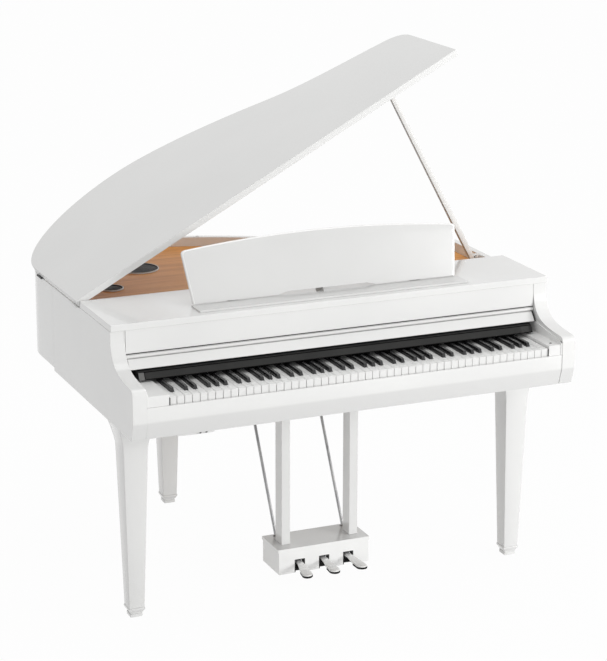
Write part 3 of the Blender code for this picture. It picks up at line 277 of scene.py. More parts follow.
class Finish:
    """A finish whose material is made once and then shared."""

    _made: ClassVar[dict[str, bpy.types.Material]] = {}
    name: str

    def dress(self, tree: Tree) -> None:
        """Wires the finish's nodes, each kind of finish in its own way.

        Args:
            tree: The material's tree.
        """
        raise NotImplementedError

    @property
    def material(self) -> bpy.types.Material:
        """The finish's material, made on first use.

        Returns:
            The material, the same one each time.
        """
        if self.name not in Finish._made:
            tree = Tree(self.name)
            self.dress(tree)
            Finish._made[self.name] = tree.material
        return Finish._made[self.name]


@dataclass(frozen=True)
class Lacquer(Finish):
    """Sprayed lacquer with a faint peel, smudges and dust in its gloss, and where asked a painted floor
    reflection.
    """

    name: str
    colour: tuple = (0.80, 0.80, 0.79)
    shade: tuple = (0.765, 0.765, 0.757)
    gloss: float = 0.11
    smudge: float = 0.07
    peel: float = 0.05
    coat: float = 0.55
    # Height below which forward faces carry a painted floor reflection; zero for none.
    reflection_height: float = 0.0

    def dress(self, tree: Tree) -> None:
        """Wires colour mottle, a painted floor reflection where asked, smudged roughness and orange peel.

        Args:
            tree: The material's tree.
        """
        tree.set(Specular_IOR_Level=0.5, IOR=1.5, Coat_Weight=self.coat, Coat_Roughness=0.045, Coat_IOR=1.5)
        mottle = tree.noise(2.3, 3.0)
        colour = tree.ramp(mottle, [(0.35, self.shade), (0.62, self.colour)])
        # Painted reflection: low forward faces are darkened to stand in for the floor mirrored in the
        # lacquer.
        if self.reflection_height:
            colour = self.paint_floor_reflection(tree, colour)
        tree.feed("Base Color", colour)
        cloud = tree.noise(7.0, 5.0, 0.62)
        wiped = tree.noise(38.0, 2.0, 0.5, tree.stretched((0.35, 1.6, 1.0), (0.3, 0.2, 0.5)))
        tree.feed("Roughness",
                  tree.spread(tree.total(cloud, wiped, 0.35), self.gloss, self.gloss + self.smudge, 0.5,
                              0.85))
        tree.bump(tree.total(tree.noise(420.0, 1.0), tree.noise(90.0, 1.0), 0.6), self.peel, 0.0004)

    def paint_floor_reflection(self, tree: Tree, colour: bpy.types.NodeSocket) -> bpy.types.NodeSocket:
        """Paints a darker band on forward faces below a set height, a painted reflection of the floor.

        Args:
            tree: The material's tree.
            colour: Socket with the lacquer's colour.

        Returns:
            The socket with the graded colour.
        """
        height = tree.node("ShaderNodeSeparateXYZ", {0: tree.place}).outputs[2]
        facing = tree.node("ShaderNodeSeparateXYZ", {0: tree.coordinates["Normal"]}).outputs[1]
        low = tree.spread(height, 1.0, 0.0, self.reflection_height - 0.005, self.reflection_height + 0.003)
        front = tree.spread(facing, 1.0, 0.0, -0.9, -0.5)
        reflection_tone = [0.90 * part for part in self.shade]
        return tree.mix(tree.maths("MULTIPLY", low, front), colour, reflection_tone)


@dataclass(frozen=True)
class Tonewood(Finish):
    """Veneer with a straight, banded grain along X and fine pores."""

    name: str
    light: tuple = (0.89, 0.445, 0.135)
    middle: tuple = (0.79, 0.362, 0.098)
    dark: tuple = (0.57, 0.228, 0.052)
    gloss: float = 0.34

    def dress(self, tree: Tree) -> None:
        """Wires growth bands, flames, pores and a satin varnish.

        Args:
            tree: The material's tree.
        """
        tree.set(Specular_IOR_Level=0.16, Coat_Weight=0.0)
        along = tree.stretched((1.1, 17.0, 6.0))
        bands = tree.noise(2.2, 4.0, 0.55, along)
        fine = tree.noise(9.0, 6.0, 0.7, tree.stretched((0.9, 34.0, 12.0)))
        colour = tree.ramp(tree.total(bands, fine, 0.35),
                           [(0.44, self.dark), (0.66, self.middle), (0.86, self.light)])
        pores = tree.noise(60.0, 2.0, 0.6, tree.stretched((0.7, 30.0, 10.0)))
        colour = tree.mix(tree.spread(pores, 0.0, 0.45, 0.56, 0.72), colour, self.dark)
        tree.feed("Base Color", colour)
        tree.feed("Roughness", tree.spread(pores, self.gloss, self.gloss + 0.2, 0.5, 0.75))
        tree.bump(pores, 0.25, 0.0003)


@dataclass(frozen=True)
class Moulding(Finish):
    """Moulded or painted surface with a fine texture and a mottled sheen."""

    name: str
    colour: tuple = (0.012, 0.012, 0.013)
    worn: tuple = (0.022, 0.022, 0.024)
    gloss: float = 0.35
    spread: float = 0.14
    grain: float = 700.0
    relief: float = 0.12
    coat: float = 0.0
    metal: float = 0.0
    shine: float = 0.5

    def dress(self, tree: Tree) -> None:
        """Wires a mottled colour, a varied roughness and a fine grain.

        Args:
            tree: The material's tree.
        """
        tree.set(Metallic=self.metal, Coat_Weight=self.coat, Coat_Roughness=0.08,
                 Specular_IOR_Level=self.shine)
        cloud = tree.noise(11.0, 4.0, 0.6)
        tree.feed("Base Color", tree.ramp(cloud, [(0.38, self.colour), (0.70, self.worn)]))
        tree.feed("Roughness", tree.spread(tree.noise(26.0, 3.0), self.gloss, self.gloss + self.spread))
        tree.bump(tree.noise(self.grain, 1.0), self.relief, 0.0002)


@dataclass(frozen=True)
class Brushed(Finish):
    """Metal with fine scratches along one axis."""

    name: str
    along: Axis = Axis.Z
    colour: tuple = (0.50, 0.50, 0.50)
    tarnish: tuple = (0.36, 0.36, 0.37)
    gloss: float = 0.24

    def dress(self, tree: Tree) -> None:
        """Wires scratches, streaks and a slight tarnish.

        Args:
            tree: The material's tree.
        """
        tree.set(Metallic=1.0)
        run = [900.0 if part == 0.0 else 14.0 for part in self.along.value]
        lines = tree.noise(1.0, 3.0, 0.6, tree.stretched(run))
        tree.feed("Base Color",
                  tree.ramp(tree.noise(16.0, 4.0), [(0.36, self.tarnish), (0.62, self.colour)]))
        tree.feed("Roughness", tree.spread(lines, self.gloss, self.gloss + 0.16))
        tree.bump(lines, 0.18, 0.0001)


@dataclass(frozen=True)
class Felt(Finish):
    """Pressed wool felt."""

    name: str
    colour: tuple = (0.007, 0.007, 0.007)
    fibre: tuple = (0.030, 0.030, 0.031)

    def dress(self, tree: Tree) -> None:
        """Wires fibres, a soft sheen and a deep grain.

        Args:
            tree: The material's tree.
        """
        tree.set(Roughness=0.95, Sheen_Weight=0.12, Sheen_Roughness=0.6, Specular_IOR_Level=0.15)
        fibres = tree.noise(900.0, 5.0, 0.75)
        tree.feed("Base Color", tree.ramp(fibres, [(0.40, self.colour), (0.66, self.fibre)]))
        tree.bump(fibres, 0.6, 0.0004)


@dataclass(frozen=True)
class CircuitBoard(Finish):
    """Green board with lighter tracks under its mask."""

    name: str
    mask: tuple = (0.006, 0.075, 0.028)
    track: tuple = (0.020, 0.160, 0.060)

    def dress(self, tree: Tree) -> None:
        """Wires a pattern of square cells for the tracks under the mask.

        Args:
            tree: The material's tree.
        """
        tree.set(Roughness=0.32, Coat_Weight=0.4, Coat_Roughness=0.1)
        cells = tree.node("ShaderNodeTexVoronoi", {"Vector": tree.place, "Scale": 120.0},
                          distance="MANHATTAN")
        nearness = cells.outputs["Distance"]
        tree.feed("Base Color", tree.ramp(nearness, [(0.30, self.track), (0.42, self.mask)]))
        tree.bump(nearness, 0.2, 0.0002)


WHITE = Lacquer("white_lacquer")
# Painted reflection: this white darkens its lower forward faces, standing in for the floor mirrored in the
# lacquer.
WHITE_FLOOR_REFLECTION = Lacquer("white_lacquer_painted_reflection", reflection_height=0.688)
# Painted shade: a darker copy of the white lacquer for the front legs and lyre posts, so they read less lit.
WHITE_LOW_PAINTED_SHADE = Lacquer("white_lacquer_low_painted_shade", colour=(0.765, 0.765, 0.757), shade=(0.735, 0.735, 0.725))
# Painted shade and light: the lid's top is a darker copy of the white lacquer, its edges a lighter one.
LID_PAINTED_SHADE = Lacquer("lid_lacquer_painted_shade", colour=(0.765, 0.765, 0.755), shade=(0.74, 0.74, 0.73))
LID_EDGE_PAINTED_LIGHT = Lacquer("edge_lacquer_painted_light", colour=(0.785, 0.785, 0.775), gloss=0.30, smudge=0.06, peel=0.01,
                     coat=0.05)
# Painted shade: the prop takes a darker copy of the white lacquer, and its left-facing faces a much darker
# one.
PROP_PAINTED_SHADE = Lacquer("prop_lacquer_painted_shade", colour=(0.74, 0.735, 0.72), shade=(0.71, 0.705, 0.69), gloss=0.30,
                     smudge=0.06, peel=0.01, coat=0.05)
PROP_SIDE_PAINTED_SHADE = Lacquer("prop_side_painted_shade", colour=(0.38, 0.39, 0.39), shade=(0.34, 0.35, 0.35), gloss=0.34,
                     smudge=0.06, peel=0.01, coat=0.05)
# Painted highlight: a lighter copy of the white lacquer for the desk's eased edge and the pedal box's sides.
WHITE_PAINTED_HIGHLIGHT = Lacquer("white_lacquer_painted_highlight", colour=(0.89, 0.89, 0.88), shade=(0.87, 0.87, 0.86), gloss=0.2)
SATIN = Lacquer("white_satin", gloss=0.32, smudge=0.12, coat=0.1, peel=0.10)
# Painted shade: a darker copy of the white lacquer for the leaning desk, its ledge and the pedal box's top.
WHITE_DEEP_PAINTED_SHADE = Lacquer("white_lacquer_deep_painted_shade", colour=(0.69, 0.69, 0.682), shade=(0.66, 0.66, 0.652), gloss=0.16,
                     coat=0.45)
WOOD = Tonewood("tonewood")
IVORY = Lacquer("ivory_keys", colour=(0.87, 0.87, 0.86), shade=(0.85, 0.85, 0.84), gloss=0.20, smudge=0.14,
                peel=0.08, coat=0.2)
# Painted shade: the key fronts take a darker copy of the ivory than the tops.
IVORY_FRONT_PAINTED_SHADE = Lacquer("ivory_fronts_painted_shade", colour=(0.775, 0.775, 0.765), shade=(0.755, 0.755, 0.745), gloss=0.24,
                      smudge=0.14, peel=0.08, coat=0.2)
EBONY = Moulding("ebony_keys", colour=(0.007, 0.007, 0.008), worn=(0.014, 0.014, 0.015), gloss=0.18,
                 spread=0.12, coat=0.32, shine=0.45)
BLACK = Moulding("black_plastic", colour=(0.005, 0.005, 0.005), worn=(0.009, 0.009, 0.009), gloss=0.42,
                 shine=0.2)
PANEL_GLASS = Moulding("dark_panel", colour=(0.019, 0.019, 0.0185), worn=(0.025, 0.025, 0.024), gloss=0.30,
                       spread=0.10, relief=0.02, coat=0.05, shine=0.2)
GREY_LENS = Moulding("grey_lens", colour=(0.115, 0.115, 0.112), worn=(0.15, 0.15, 0.147), gloss=0.14,
                     spread=0.08, relief=0.02, coat=0.8)
LENS = Moulding("strip_lens", colour=(0.029, 0.029, 0.028), worn=(0.036, 0.036, 0.035), gloss=0.24,
                spread=0.08, relief=0.02, coat=0.1, shine=0.3)
# Painted shadow: pure black for the bands along the strip's top and foot where the cover and keys shade it,
# and for its seam line.
SHADOW_AND_SEAM_BLACK = Moulding("painted_shadow_and_seam_black", colour=(0.002, 0.002, 0.002), worn=(0.004, 0.004, 0.004), gloss=0.7, spread=0.1,
               shine=0.0)
CAP = Moulding("strip_cap", colour=(0.075, 0.075, 0.073), worn=(0.13, 0.13, 0.125), gloss=0.30, grain=240.0,
               relief=0.2, coat=0.2)
MESH_CLOTH = Moulding("speaker_mesh", colour=(0.022, 0.023, 0.025), worn=(0.045, 0.047, 0.050), gloss=0.46,
                      relief=0.3)
RING_METAL = Moulding("ring_metal", colour=(0.56, 0.55, 0.54), worn=(0.66, 0.65, 0.64), gloss=0.26,
                      metal=0.2, relief=0.05)
IRON = Moulding("dark_iron", colour=(0.045, 0.045, 0.046), worn=(0.085, 0.085, 0.086), gloss=0.40,
                metal=0.6)
ROD_STEEL = Brushed("rod_steel", Axis.Z, (0.40, 0.40, 0.40), (0.27, 0.27, 0.28), 0.26)
PEDAL_METAL = Moulding("pedal_metal", colour=(0.78, 0.78, 0.77), worn=(0.86, 0.86, 0.85), gloss=0.24,
                       metal=0.10, relief=0.05)
SCREW_STEEL = Moulding("screw_steel", colour=(0.25, 0.25, 0.25), worn=(0.40, 0.40, 0.40), gloss=0.30,
                       metal=1.0, relief=0.05)
HARDBOARD = Moulding("bare_hardboard", colour=(0.30, 0.205, 0.125), worn=(0.345, 0.245, 0.152), gloss=0.70,
                     grain=160.0, relief=0.5)
CONE = Moulding("speaker_cone", colour=(0.020, 0.020, 0.021), worn=(0.034, 0.034, 0.035), gloss=0.62,
                grain=300.0, relief=0.4)
FELT = Felt("black_felt")
RUBBER = Moulding("rubber", colour=(0.020, 0.020, 0.020), worn=(0.032, 0.032, 0.031), gloss=0.68,
                  relief=0.3)
PALE_RUBBER = Moulding("pale_rubber", colour=(0.60, 0.60, 0.59), worn=(0.68, 0.68, 0.67), gloss=0.5,
                       relief=0.2)
GREEN_BOARD = CircuitBoard("circuit_board")


# Mesh making


def curve_points(a: Sequence[float], b: Sequence[float], c: Sequence[float], d: Sequence[float],
                 steps: int) -> Plan:
    """Points along one Bezier curve, without its last point.

    Args:
        a: Start.
        b: First handle.
        c: Second handle.
        d: End.
        steps: Number of steps.

    Returns:
        The points from the start to just before the end.
    """
    points = []
    for i in range(steps):
        t = i / steps
        w = ((1 - t) ** 3, 3 * t * (1 - t) ** 2, 3 * t * t * (1 - t), t ** 3)
        points.append(tuple(sum(k * p[n] for k, p in zip(w, (a, b, c, d))) for n in (0, 1)))
    return points


def inset(points: Plan, amount: float) -> Plan:
    """Moves an open run of points to its right-hand side.

    Args:
        points: The run of points.
        amount: Distance to move.

    Returns:
        The moved run.
    """
    moved = []
    for i, point in enumerate(points):
        before, after = points[max(i - 1, 0)], points[min(i + 1, len(points) - 1)]
        along = Vector((after[0] - before[0], after[1] - before[1])).normalized()
        moved.append((point[0] + along.y * amount, point[1] - along.x * amount))
    return moved


def finish_mesh(bm: bmesh.types.BMesh, name: str, finish: Finish, angle: float = SMOOTH,
                weld: bool = True) -> bpy.types.Object:
    """Turns a bmesh into a dressed object at the origin.

    Args:
        bm: Mesh data, freed here.
        name: Name of the piece.
        finish: Its finish.
        angle: Sharpest angle in degrees that stays smooth.
        weld: Whether points in one place become one.

    Returns:
        The new object.
    """
    if weld:
        bmesh.ops.remove_doubles(bm, verts=bm.verts, dist=WELD)
    bmesh.ops.recalc_face_normals(bm, faces=bm.faces)
    mesh = bpy.data.meshes.new(name)
    bm.to_mesh(mesh)
    bm.free()
    return seat(mesh, name, finish, angle)


def seat(mesh: bpy.types.Mesh, name: str, finish: Finish, angle: float = SMOOTH) -> bpy.types.Object:
    """Links a mesh as a piece with its finish and its smooth faces.

    Args:
        mesh: The mesh, in the frame's own place.
        name: Name of the piece.
        finish: Its finish.
        angle: Sharpest angle in degrees that stays smooth.

    Returns:
        The new object.
    """
    mesh.materials.clear()
    mesh.materials.append(finish.material)
    if "custom_normal" in mesh.attributes:
        mesh.attributes.remove(mesh.attributes["custom_normal"])
    for face in mesh.polygons:
        face.use_smooth = True
        face.material_index = 0
    mesh.set_sharp_from_angle(angle=math.radians(angle))
    return placed(name, mesh)


def placed(name: str, data: bpy.types.ID | None) -> bpy.types.Object:
    """Puts a mesh, lamp or camera into the scene.

    Args:
        name: Name of the object.
        data: What it shows.

    Returns:
        The object.
    """
    made = bpy.data.objects.new(name, data)
    bpy.context.scene.collection.objects.link(made)
    return made


def carried_out(piece: bpy.types.Object) -> bpy.types.Mesh:
    """Makes a plain mesh of a piece with its modifiers carried out.

    Args:
        piece: The piece, left as it is.

    Returns:
        The new mesh.
    """
    bpy.context.view_layer.update()
    graph = bpy.context.evaluated_depsgraph_get()
    return bpy.data.meshes.new_from_object(piece.evaluated_get(graph))


def add_loft(bm: bmesh.types.BMesh, rings: Sequence[Ring]) -> None:
    """Adds a closed skin through rings of points, with flat ends.

    Args:
        bm: Mesh to add to.
        rings: Rings with the same number of points.
    """
    rows = [[bm.verts.new(point) for point in ring] for ring in rings]
    for low, high in zip(rows, rows[1:]):
        for i in range(len(low)):
            j = (i + 1) % len(low)
            bm.faces.new((low[i], low[j], high[j], high[i]))
    bm.faces.new(rows[0][::-1])
    bm.faces.new(rows[-1])


def add_prism(bm: bmesh.types.BMesh, outline: Plan, origin: Vector, u: Vector, v: Vector, low: float,
              high: float) -> None:
    """Adds an upright prism over an outline.

    Args:
        bm: Mesh to add to.
        outline: Points along u and v.
        origin: Where the outline's zero lies.
        u: Direction of the first number.
        v: Direction of the second.
        low: Start along the outline's normal.
        high: End along it.
    """
    w = u.cross(v).normalized()
    add_loft(bm, [[origin + a * u + b * v + t * w for a, b in outline] for t in (low, high)])


def oblong(x0: float, x1: float, y0: float, y1: float) -> Plan:
    """Corners of a rectangle, in order round it."""
    return [(x0, y0), (x1, y0), (x1, y1), (x0, y1)]


def side_slab(bm: bmesh.types.BMesh, outline: Plan, x0: float, x1: float) -> None:
    """Adds a prism whose outline is a side view, in depths and heights."""
    add_prism(bm, outline, M.at(0, 0, 0), BACK, UP, x0, x1)


def plan_slab(bm: bmesh.types.BMesh, outline: Plan, z0: float, z1: float) -> None:
    """Adds a prism whose outline is a plan, in sideways places and depths."""
    add_prism(bm, outline, M.at(0, 0, 0), RIGHT, BACK, z0, z1)


def block(bm: bmesh.types.BMesh, x: Sequence[float], d: Sequence[float], z: Sequence[float]) -> None:
    """Adds a block between two sideways places, depths and heights."""
    plan_slab(bm, oblong(*x, *d), *z)


def disc_ring(centre: Vector, u: Vector, v: Vector, radius: float, sides: int) -> Ring:
    """Points of a circle about a centre, in the plane of u and v."""
    turns = [2 * math.pi * i / sides for i in range(sides)]
    return [centre + radius * (math.cos(t) * u + math.sin(t) * v) for t in turns]


def soft_ring(centre: Vector, u: Vector, v: Vector, half_u: float, half_v: float, corner: float,
              steps: int = 3) -> Ring:
    """Ring of a rectangle with rounded corners.

    Args:
        centre: Its middle.
        u: First direction.
        v: Second direction.
        half_u: Half its size along u.
        half_v: Half its size along v.
        corner: Radius of its corners.
        steps: Steps round each corner.

    Returns:
        The ring's points.
    """
    corner = min(corner, half_u * 0.98, half_v * 0.98)
    ring = []
    for quarter, (a, b) in enumerate(((1, 1), (-1, 1), (-1, -1), (1, -1))):
        for i in range(steps + 1):
            t = math.pi / 2 * (quarter + i / steps)
            x = a * (half_u - corner) + corner * math.cos(t)
            y = b * (half_v - corner) + corner * math.sin(t)
            ring.append(centre + x * u + y * v)
    return ring


def rod(bm: bmesh.types.BMesh, start: Vector, end: Vector, radius: float, sides: int = 24,
        crown: float = 0.0) -> None:
    """Adds a round bar with softened ends.

    Args:
        bm: Mesh to add to.
        start: Middle of its first end.
        end: Middle of its second end.
        radius: Its radius.
        sides: Faces round it.
        crown: Width of the softened edge at each end.
    """
    along = (end - start).normalized()
    u = along.orthogonal().normalized()
    v = along.cross(u)
    soft = crown or radius * 0.12
    stations = [(start, radius - soft), (start + along * soft, radius), (end - along * soft, radius),
                (end, radius - soft)]
    add_loft(bm, [disc_ring(centre, u, v, size, sides) for centre, size in stations])


def turned(bm: bmesh.types.BMesh, centre: Vector, profile: Plan, sides: int = 48) -> None:
    """Adds a turned shape about an upright axis.

    Args:
        bm: Mesh to add to.
        centre: Point on the axis at height zero.
        profile: Radii and heights, from the middle out and round.
        sides: Faces round it.
    """
    add_loft(bm, [disc_ring(centre + z * UP, RIGHT, BACK, r, sides) for r, z in profile])


def round_edges(piece: bpy.types.Object, width: float, segments: int = 3, angle: float = 30.0,
                clamp: bool = False,
                keep: Callable[[Vector], bool] = lambda point: False) -> None:
    """Rounds a piece's edges with a bevel that keeps its flats flat.

    Args:
        piece: The piece.
        width: Width of the rounding.
        segments: Steps across it.
        angle: Smallest angle in degrees between faces that is rounded.
        clamp: Whether the width gives way on short edges.
        keep: Tells whether a point lies on a joint face that stays sharp.
    """
    bm = bmesh.new()
    bm.from_mesh(piece.data)
    weights = bm.edges.layers.float.new("bevel_weight_edge")
    for edge in bm.edges:
        turn = edge.calc_face_angle(0.0) if len(edge.link_faces) == 2 else 0.0
        joint = keep(edge.verts[0].co) and keep(edge.verts[1].co)
        edge[weights] = 1.0 if turn > math.radians(angle) and not joint else 0.0
    bm.to_mesh(piece.data)
    bm.free()
    bevel = piece.modifiers.new("edge", "BEVEL")
    bevel.width = width
    bevel.segments = segments
    bevel.limit_method = "WEIGHT"
    bevel.use_clamp_overlap = clamp
    bevel.harden_normals = True
    bevel.miter_outer = "MITER_ARC"


def face_coat(piece: bpy.types.Object, finish: Finish, wanted: Callable[[Vector], bool]) -> None:
    """Gives the faces that look certain ways a second finish.

    Args:
        piece: The piece.
        finish: Finish of those faces.
        wanted: Tells from a face's normal whether it is one of them.
    """
    piece.data.materials.append(finish.material)
    for face in piece.data.polygons:
        if wanted(face.normal):
            face.material_index = len(piece.data.materials) - 1


def carry(piece: bpy.types.Object, body: Body | str, *nodes: str) -> bpy.types.Object:
    """Fixes a piece to its body, and lets it stand for CAD nodes.

    Args:
        piece: The piece.
        body: Body that it rides on.
        nodes: Nodes that it replaces.

    Returns:
        The piece.
    """
    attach(piece, body.value if isinstance(body, Body) else body)
    if nodes:
        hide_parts(*nodes)
    LOG.info("%-22s on %-22s %6d faces", piece.name, getattr(body, "value", body), len(piece.data.polygons))
    return piece


def paint(finish: Finish, *nodes: str) -> None:
    """Gives carried CAD nodes their finish.

    Args:
        finish: The finish.
        nodes: Names of the nodes.
    """
    for name in nodes:
        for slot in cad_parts[name].material_slots:
            slot.material = finish.material
        LOG.info("%-22s painted as %s", name, finish.name)


def softened(node: str, name: str, finish: Finish, body: Body, width: float,
             segments: int = 3) -> bpy.types.Object:
    """Copy of a CAD node with rounded edges, standing for that node.

    Args:
        node: The node's name.
        name: Name of the piece.
        finish: Its finish.
        body: Body that it rides on.
        width: Width of the rounding.
        segments: Steps across it.

    Returns:
        The new piece.
    """
    bm = bmesh.new()
    bm.from_mesh(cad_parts[node].data)
    bmesh.ops.remove_doubles(bm, verts=bm.verts, dist=CAD_WELD)
    bmesh.ops.dissolve_limit(bm, angle_limit=CAD_FLAT, verts=bm.verts, edges=bm.edges)
    piece = finish_mesh(bm, name, finish)
    round_edges(piece, width, segments)
    return carry(piece, body, node)


def squared(node: str, name: str, finish: Finish, body: Body, width: float,
            ends: bool = True) -> bpy.types.Object:
    """Plain board the size of a CAD node, with rounded edges.

    Args:
        node: The node's name.
        name: Name of the piece.
        finish: Its finish.
        body: Body that it rides on.
        width: Width of the rounding.
        ends: Whether its two side ends are rounded as well.

    Returns:
        The new piece.
    """
    points = [vert.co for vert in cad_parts[node].data.vertices]
    low = Vector([min(p[i] for p in points) for i in range(3)])
    high = Vector([max(p[i] for p in points) for i in range(3)])
    bm = bmesh.new()
    add_prism(bm, oblong(low.x, high.x, low.y, high.y), ORIGIN, RIGHT, BACK, low.z, high.z)
    piece = finish_mesh(bm, name, finish)
    middle, half = (low.x + high.x) / 2, (high.x - low.x) / 2 - HAIR
    round_edges(piece, width, 4, keep=lambda p: not ends and abs(p.x - middle) > half)
    return carry(piece, body, node)


# Geometry Nodes


class NodeTool(Wiring):
    """A Geometry Nodes tree with named inputs, run once on a carrier mesh."""

    def __init__(self, name: str, inputs: Iterable[tuple[str, str]]) -> None:
        """Starts a tree.

        Args:
            name: Name of the tree.
            inputs: Names and socket types of its inputs.
        """
        super().__init__(bpy.data.node_groups.new(name, "GeometryNodeTree"))
        face = self.tree.interface
        face.new_socket("Geometry", in_out="INPUT", socket_type="NodeSocketGeometry")
        self.sockets = {key: face.new_socket(key, in_out="INPUT", socket_type=kind) for key, kind in inputs}
        face.new_socket("Geometry", in_out="OUTPUT", socket_type="NodeSocketGeometry")
        self.start = self.tree.nodes.new("NodeGroupInput")
        self.end = self.tree.nodes.new("NodeGroupOutput")

    def given(self, key: str) -> bpy.types.NodeSocket:
        """Socket of one of the tree's inputs."""
        return self.start.outputs[key]

    def close(self, geometry: bpy.types.NodeSocket) -> None:
        """Ends the tree in Realize Instances and Set Material.

        Args:
            geometry: Socket with the finished geometry.
        """
        real = self.node("GeometryNodeRealizeInstances", {"Geometry": geometry})
        dressed = self.node("GeometryNodeSetMaterial", {
            "Geometry": real.outputs[0], "Material": self.given("Finish")})
        self.tree.links.new(dressed.outputs[0], self.end.inputs[0])

    def run(self, name: str, mesh: bpy.types.Mesh, finish: Finish, angle: float = SMOOTH,
            **values: object) -> bpy.types.Object:
        """Runs the tree on a carrier mesh and keeps the plain result.

        Args:
            name: Name of the piece.
            mesh: Carrier mesh.
            finish: Finish of the piece.
            angle: Sharpest angle in degrees that stays smooth.
            values: Values of the named inputs, with _ for a space.

        Returns:
            The finished piece.
        """
        carrier = placed(name + "_carrier", mesh)
        modifier = carrier.modifiers.new("nodes", "NODES")
        modifier.node_group = self.tree
        modifier[self.sockets["Finish"].identifier] = finish.material
        for key, value in values.items():
            modifier[self.sockets[key.replace("_", " ")].identifier] = value
        result = carried_out(carrier)
        bpy.data.objects.remove(carrier, do_unlink=True)
        result.name = name
        return seat(result, name, finish, angle)


def points_mesh(points: Iterable[Vector]) -> bpy.types.Mesh:
    """Makes a mesh of loose points for a tree to work on.

    Args:
        points: The points, or none where the tree makes its own mesh.

    Returns:
        The mesh.
    """
    mesh = bpy.data.meshes.new("points")
    mesh.from_pydata([tuple(p) for p in points], [], [])
    return mesh


class SetOut(NodeTool):
    """Sets a pattern piece out at every point of its carrier."""

    def __init__(self) -> None:
        """Builds the tree: instances at points, each spun by a seeded amount."""
        super().__init__("set_out", [
            ("Pattern", "NodeSocketObject"), ("Turn", "NodeSocketVector"), ("Spin", "NodeSocketFloat"),
            ("Seed", "NodeSocketInt"), ("Finish", "NodeSocketMaterial")])
        pattern = self.node("GeometryNodeObjectInfo", {"Object": self.given("Pattern")})
        spread = self.node("FunctionNodeRandomValue", {"Seed": self.given("Seed")}, data_type="FLOAT")
        spin = self.maths("MULTIPLY", spread.outputs[1], self.given("Spin"))
        about = self.node("ShaderNodeCombineXYZ", {"Z": spin})
        placed = self.node("GeometryNodeInstanceOnPoints", {
            "Points": self.given("Geometry"), "Instance": pattern.outputs["Geometry"],
            "Rotation": self.given("Turn")})
        turned_round = self.node("GeometryNodeRotateInstances", {
            "Instances": placed.outputs[0], "Rotation": about.outputs[0]})
        self.close(turned_round.outputs[0])


class Perforated(NodeTool):
    """Domed sheet of hexagonal perforations within a circle."""

    merge: ClassVar[float] = 0.00001

    def __init__(self) -> None:
        """Builds the tree: sheared grid, its dual hexagons, holes and dome."""
        super().__init__("perforated_dome", [
            ("Pitch", "NodeSocketFloat"), ("Radius", "NodeSocketFloat"), ("Rise", "NodeSocketFloat"),
            ("Open", "NodeSocketFloat"), ("Thickness", "NodeSocketFloat"),
            ("Finish", "NodeSocketMaterial")])
        maths = self.maths
        pitch, radius = self.given("Pitch"), self.given("Radius")
        count = maths("CEIL", maths("DIVIDE", radius, pitch))
        rows, columns = maths("MULTIPLY_ADD", count, 2.0, 9.0), maths("MULTIPLY_ADD", count, 4.0, 17.0)
        deep = maths("MULTIPLY", maths("SUBTRACT", rows, 1.0), pitch)
        broad = maths("MULTIPLY", maths("SUBTRACT", columns, 1.0), pitch)
        grid = self.node("GeometryNodeMeshGrid", {
            "Size X": broad, "Size Y": deep, "Vertices X": columns, "Vertices Y": rows})
        place = self.node("GeometryNodeInputPosition").outputs[0]
        parts = self.node("ShaderNodeSeparateXYZ", {0: place}).outputs
        lean = maths("MULTIPLY_ADD", parts[1], 0.5, parts[0])
        squeeze = maths("MULTIPLY", parts[1], math.sqrt(3) / 2)
        sheared = self.node("ShaderNodeCombineXYZ", {"X": lean, "Y": squeeze})
        even = self.node("GeometryNodeSetPosition",
                         {"Geometry": grid.outputs["Mesh"], "Position": sheared.outputs[0]})
        split = self.node("GeometryNodeTriangulate", {"Mesh": even.outputs[0]},
                          quad_method="FIXED_ALTERNATE")
        hexes = self.node("GeometryNodeDualMesh", {"Mesh": split.outputs[0]})
        far = self.node("ShaderNodeVectorMath", {0: place}, operation="LENGTH").outputs["Value"]
        outside = maths("GREATER_THAN", far, radius)
        trimmed = self.node("GeometryNodeDeleteGeometry", {
            "Geometry": hexes.outputs[0], "Selection": outside}, domain="FACE")
        rims = self.node("GeometryNodeExtrudeMesh", {"Mesh": trimmed.outputs[0], "Offset Scale": 0.0},
                         mode="FACES")
        shrunk = self.node("GeometryNodeScaleElements", {
            "Geometry": rims.outputs["Mesh"], "Selection": rims.outputs["Top"],
            "Scale": self.given("Open")}, domain="FACE")
        holes = self.node("GeometryNodeDeleteGeometry", {
            "Geometry": shrunk.outputs[0], "Selection": rims.outputs["Top"]}, domain="FACE")
        share = maths("DIVIDE", far, radius)
        height = maths("MULTIPLY", maths("SUBTRACT", 1.0, maths("MULTIPLY", share, share)),
                       self.given("Rise"))
        up = self.node("ShaderNodeCombineXYZ", {"Z": height})
        domed = self.node("GeometryNodeSetPosition",
                          {"Geometry": holes.outputs[0], "Offset": up.outputs[0]})
        down = self.node("ShaderNodeCombineXYZ", {"Z": -1.0})
        thick = self.node("GeometryNodeExtrudeMesh", {
            "Mesh": domed.outputs[0], "Offset": down.outputs[0], "Offset Scale": self.given("Thickness"),
            "Individual": False}, mode="FACES")
        under = self.node("GeometryNodeFlipFaces", {"Mesh": thick.outputs["Mesh"]})
        both = self.node("GeometryNodeJoinGeometry", {0: domed.outputs[0]})
        self.tree.links.new(under.outputs[0], both.inputs[0])
        merged = self.node("GeometryNodeMergeByDistance",
                           {"Geometry": both.outputs[0], "Distance": self.merge})
        self.close(merged.outputs[0])


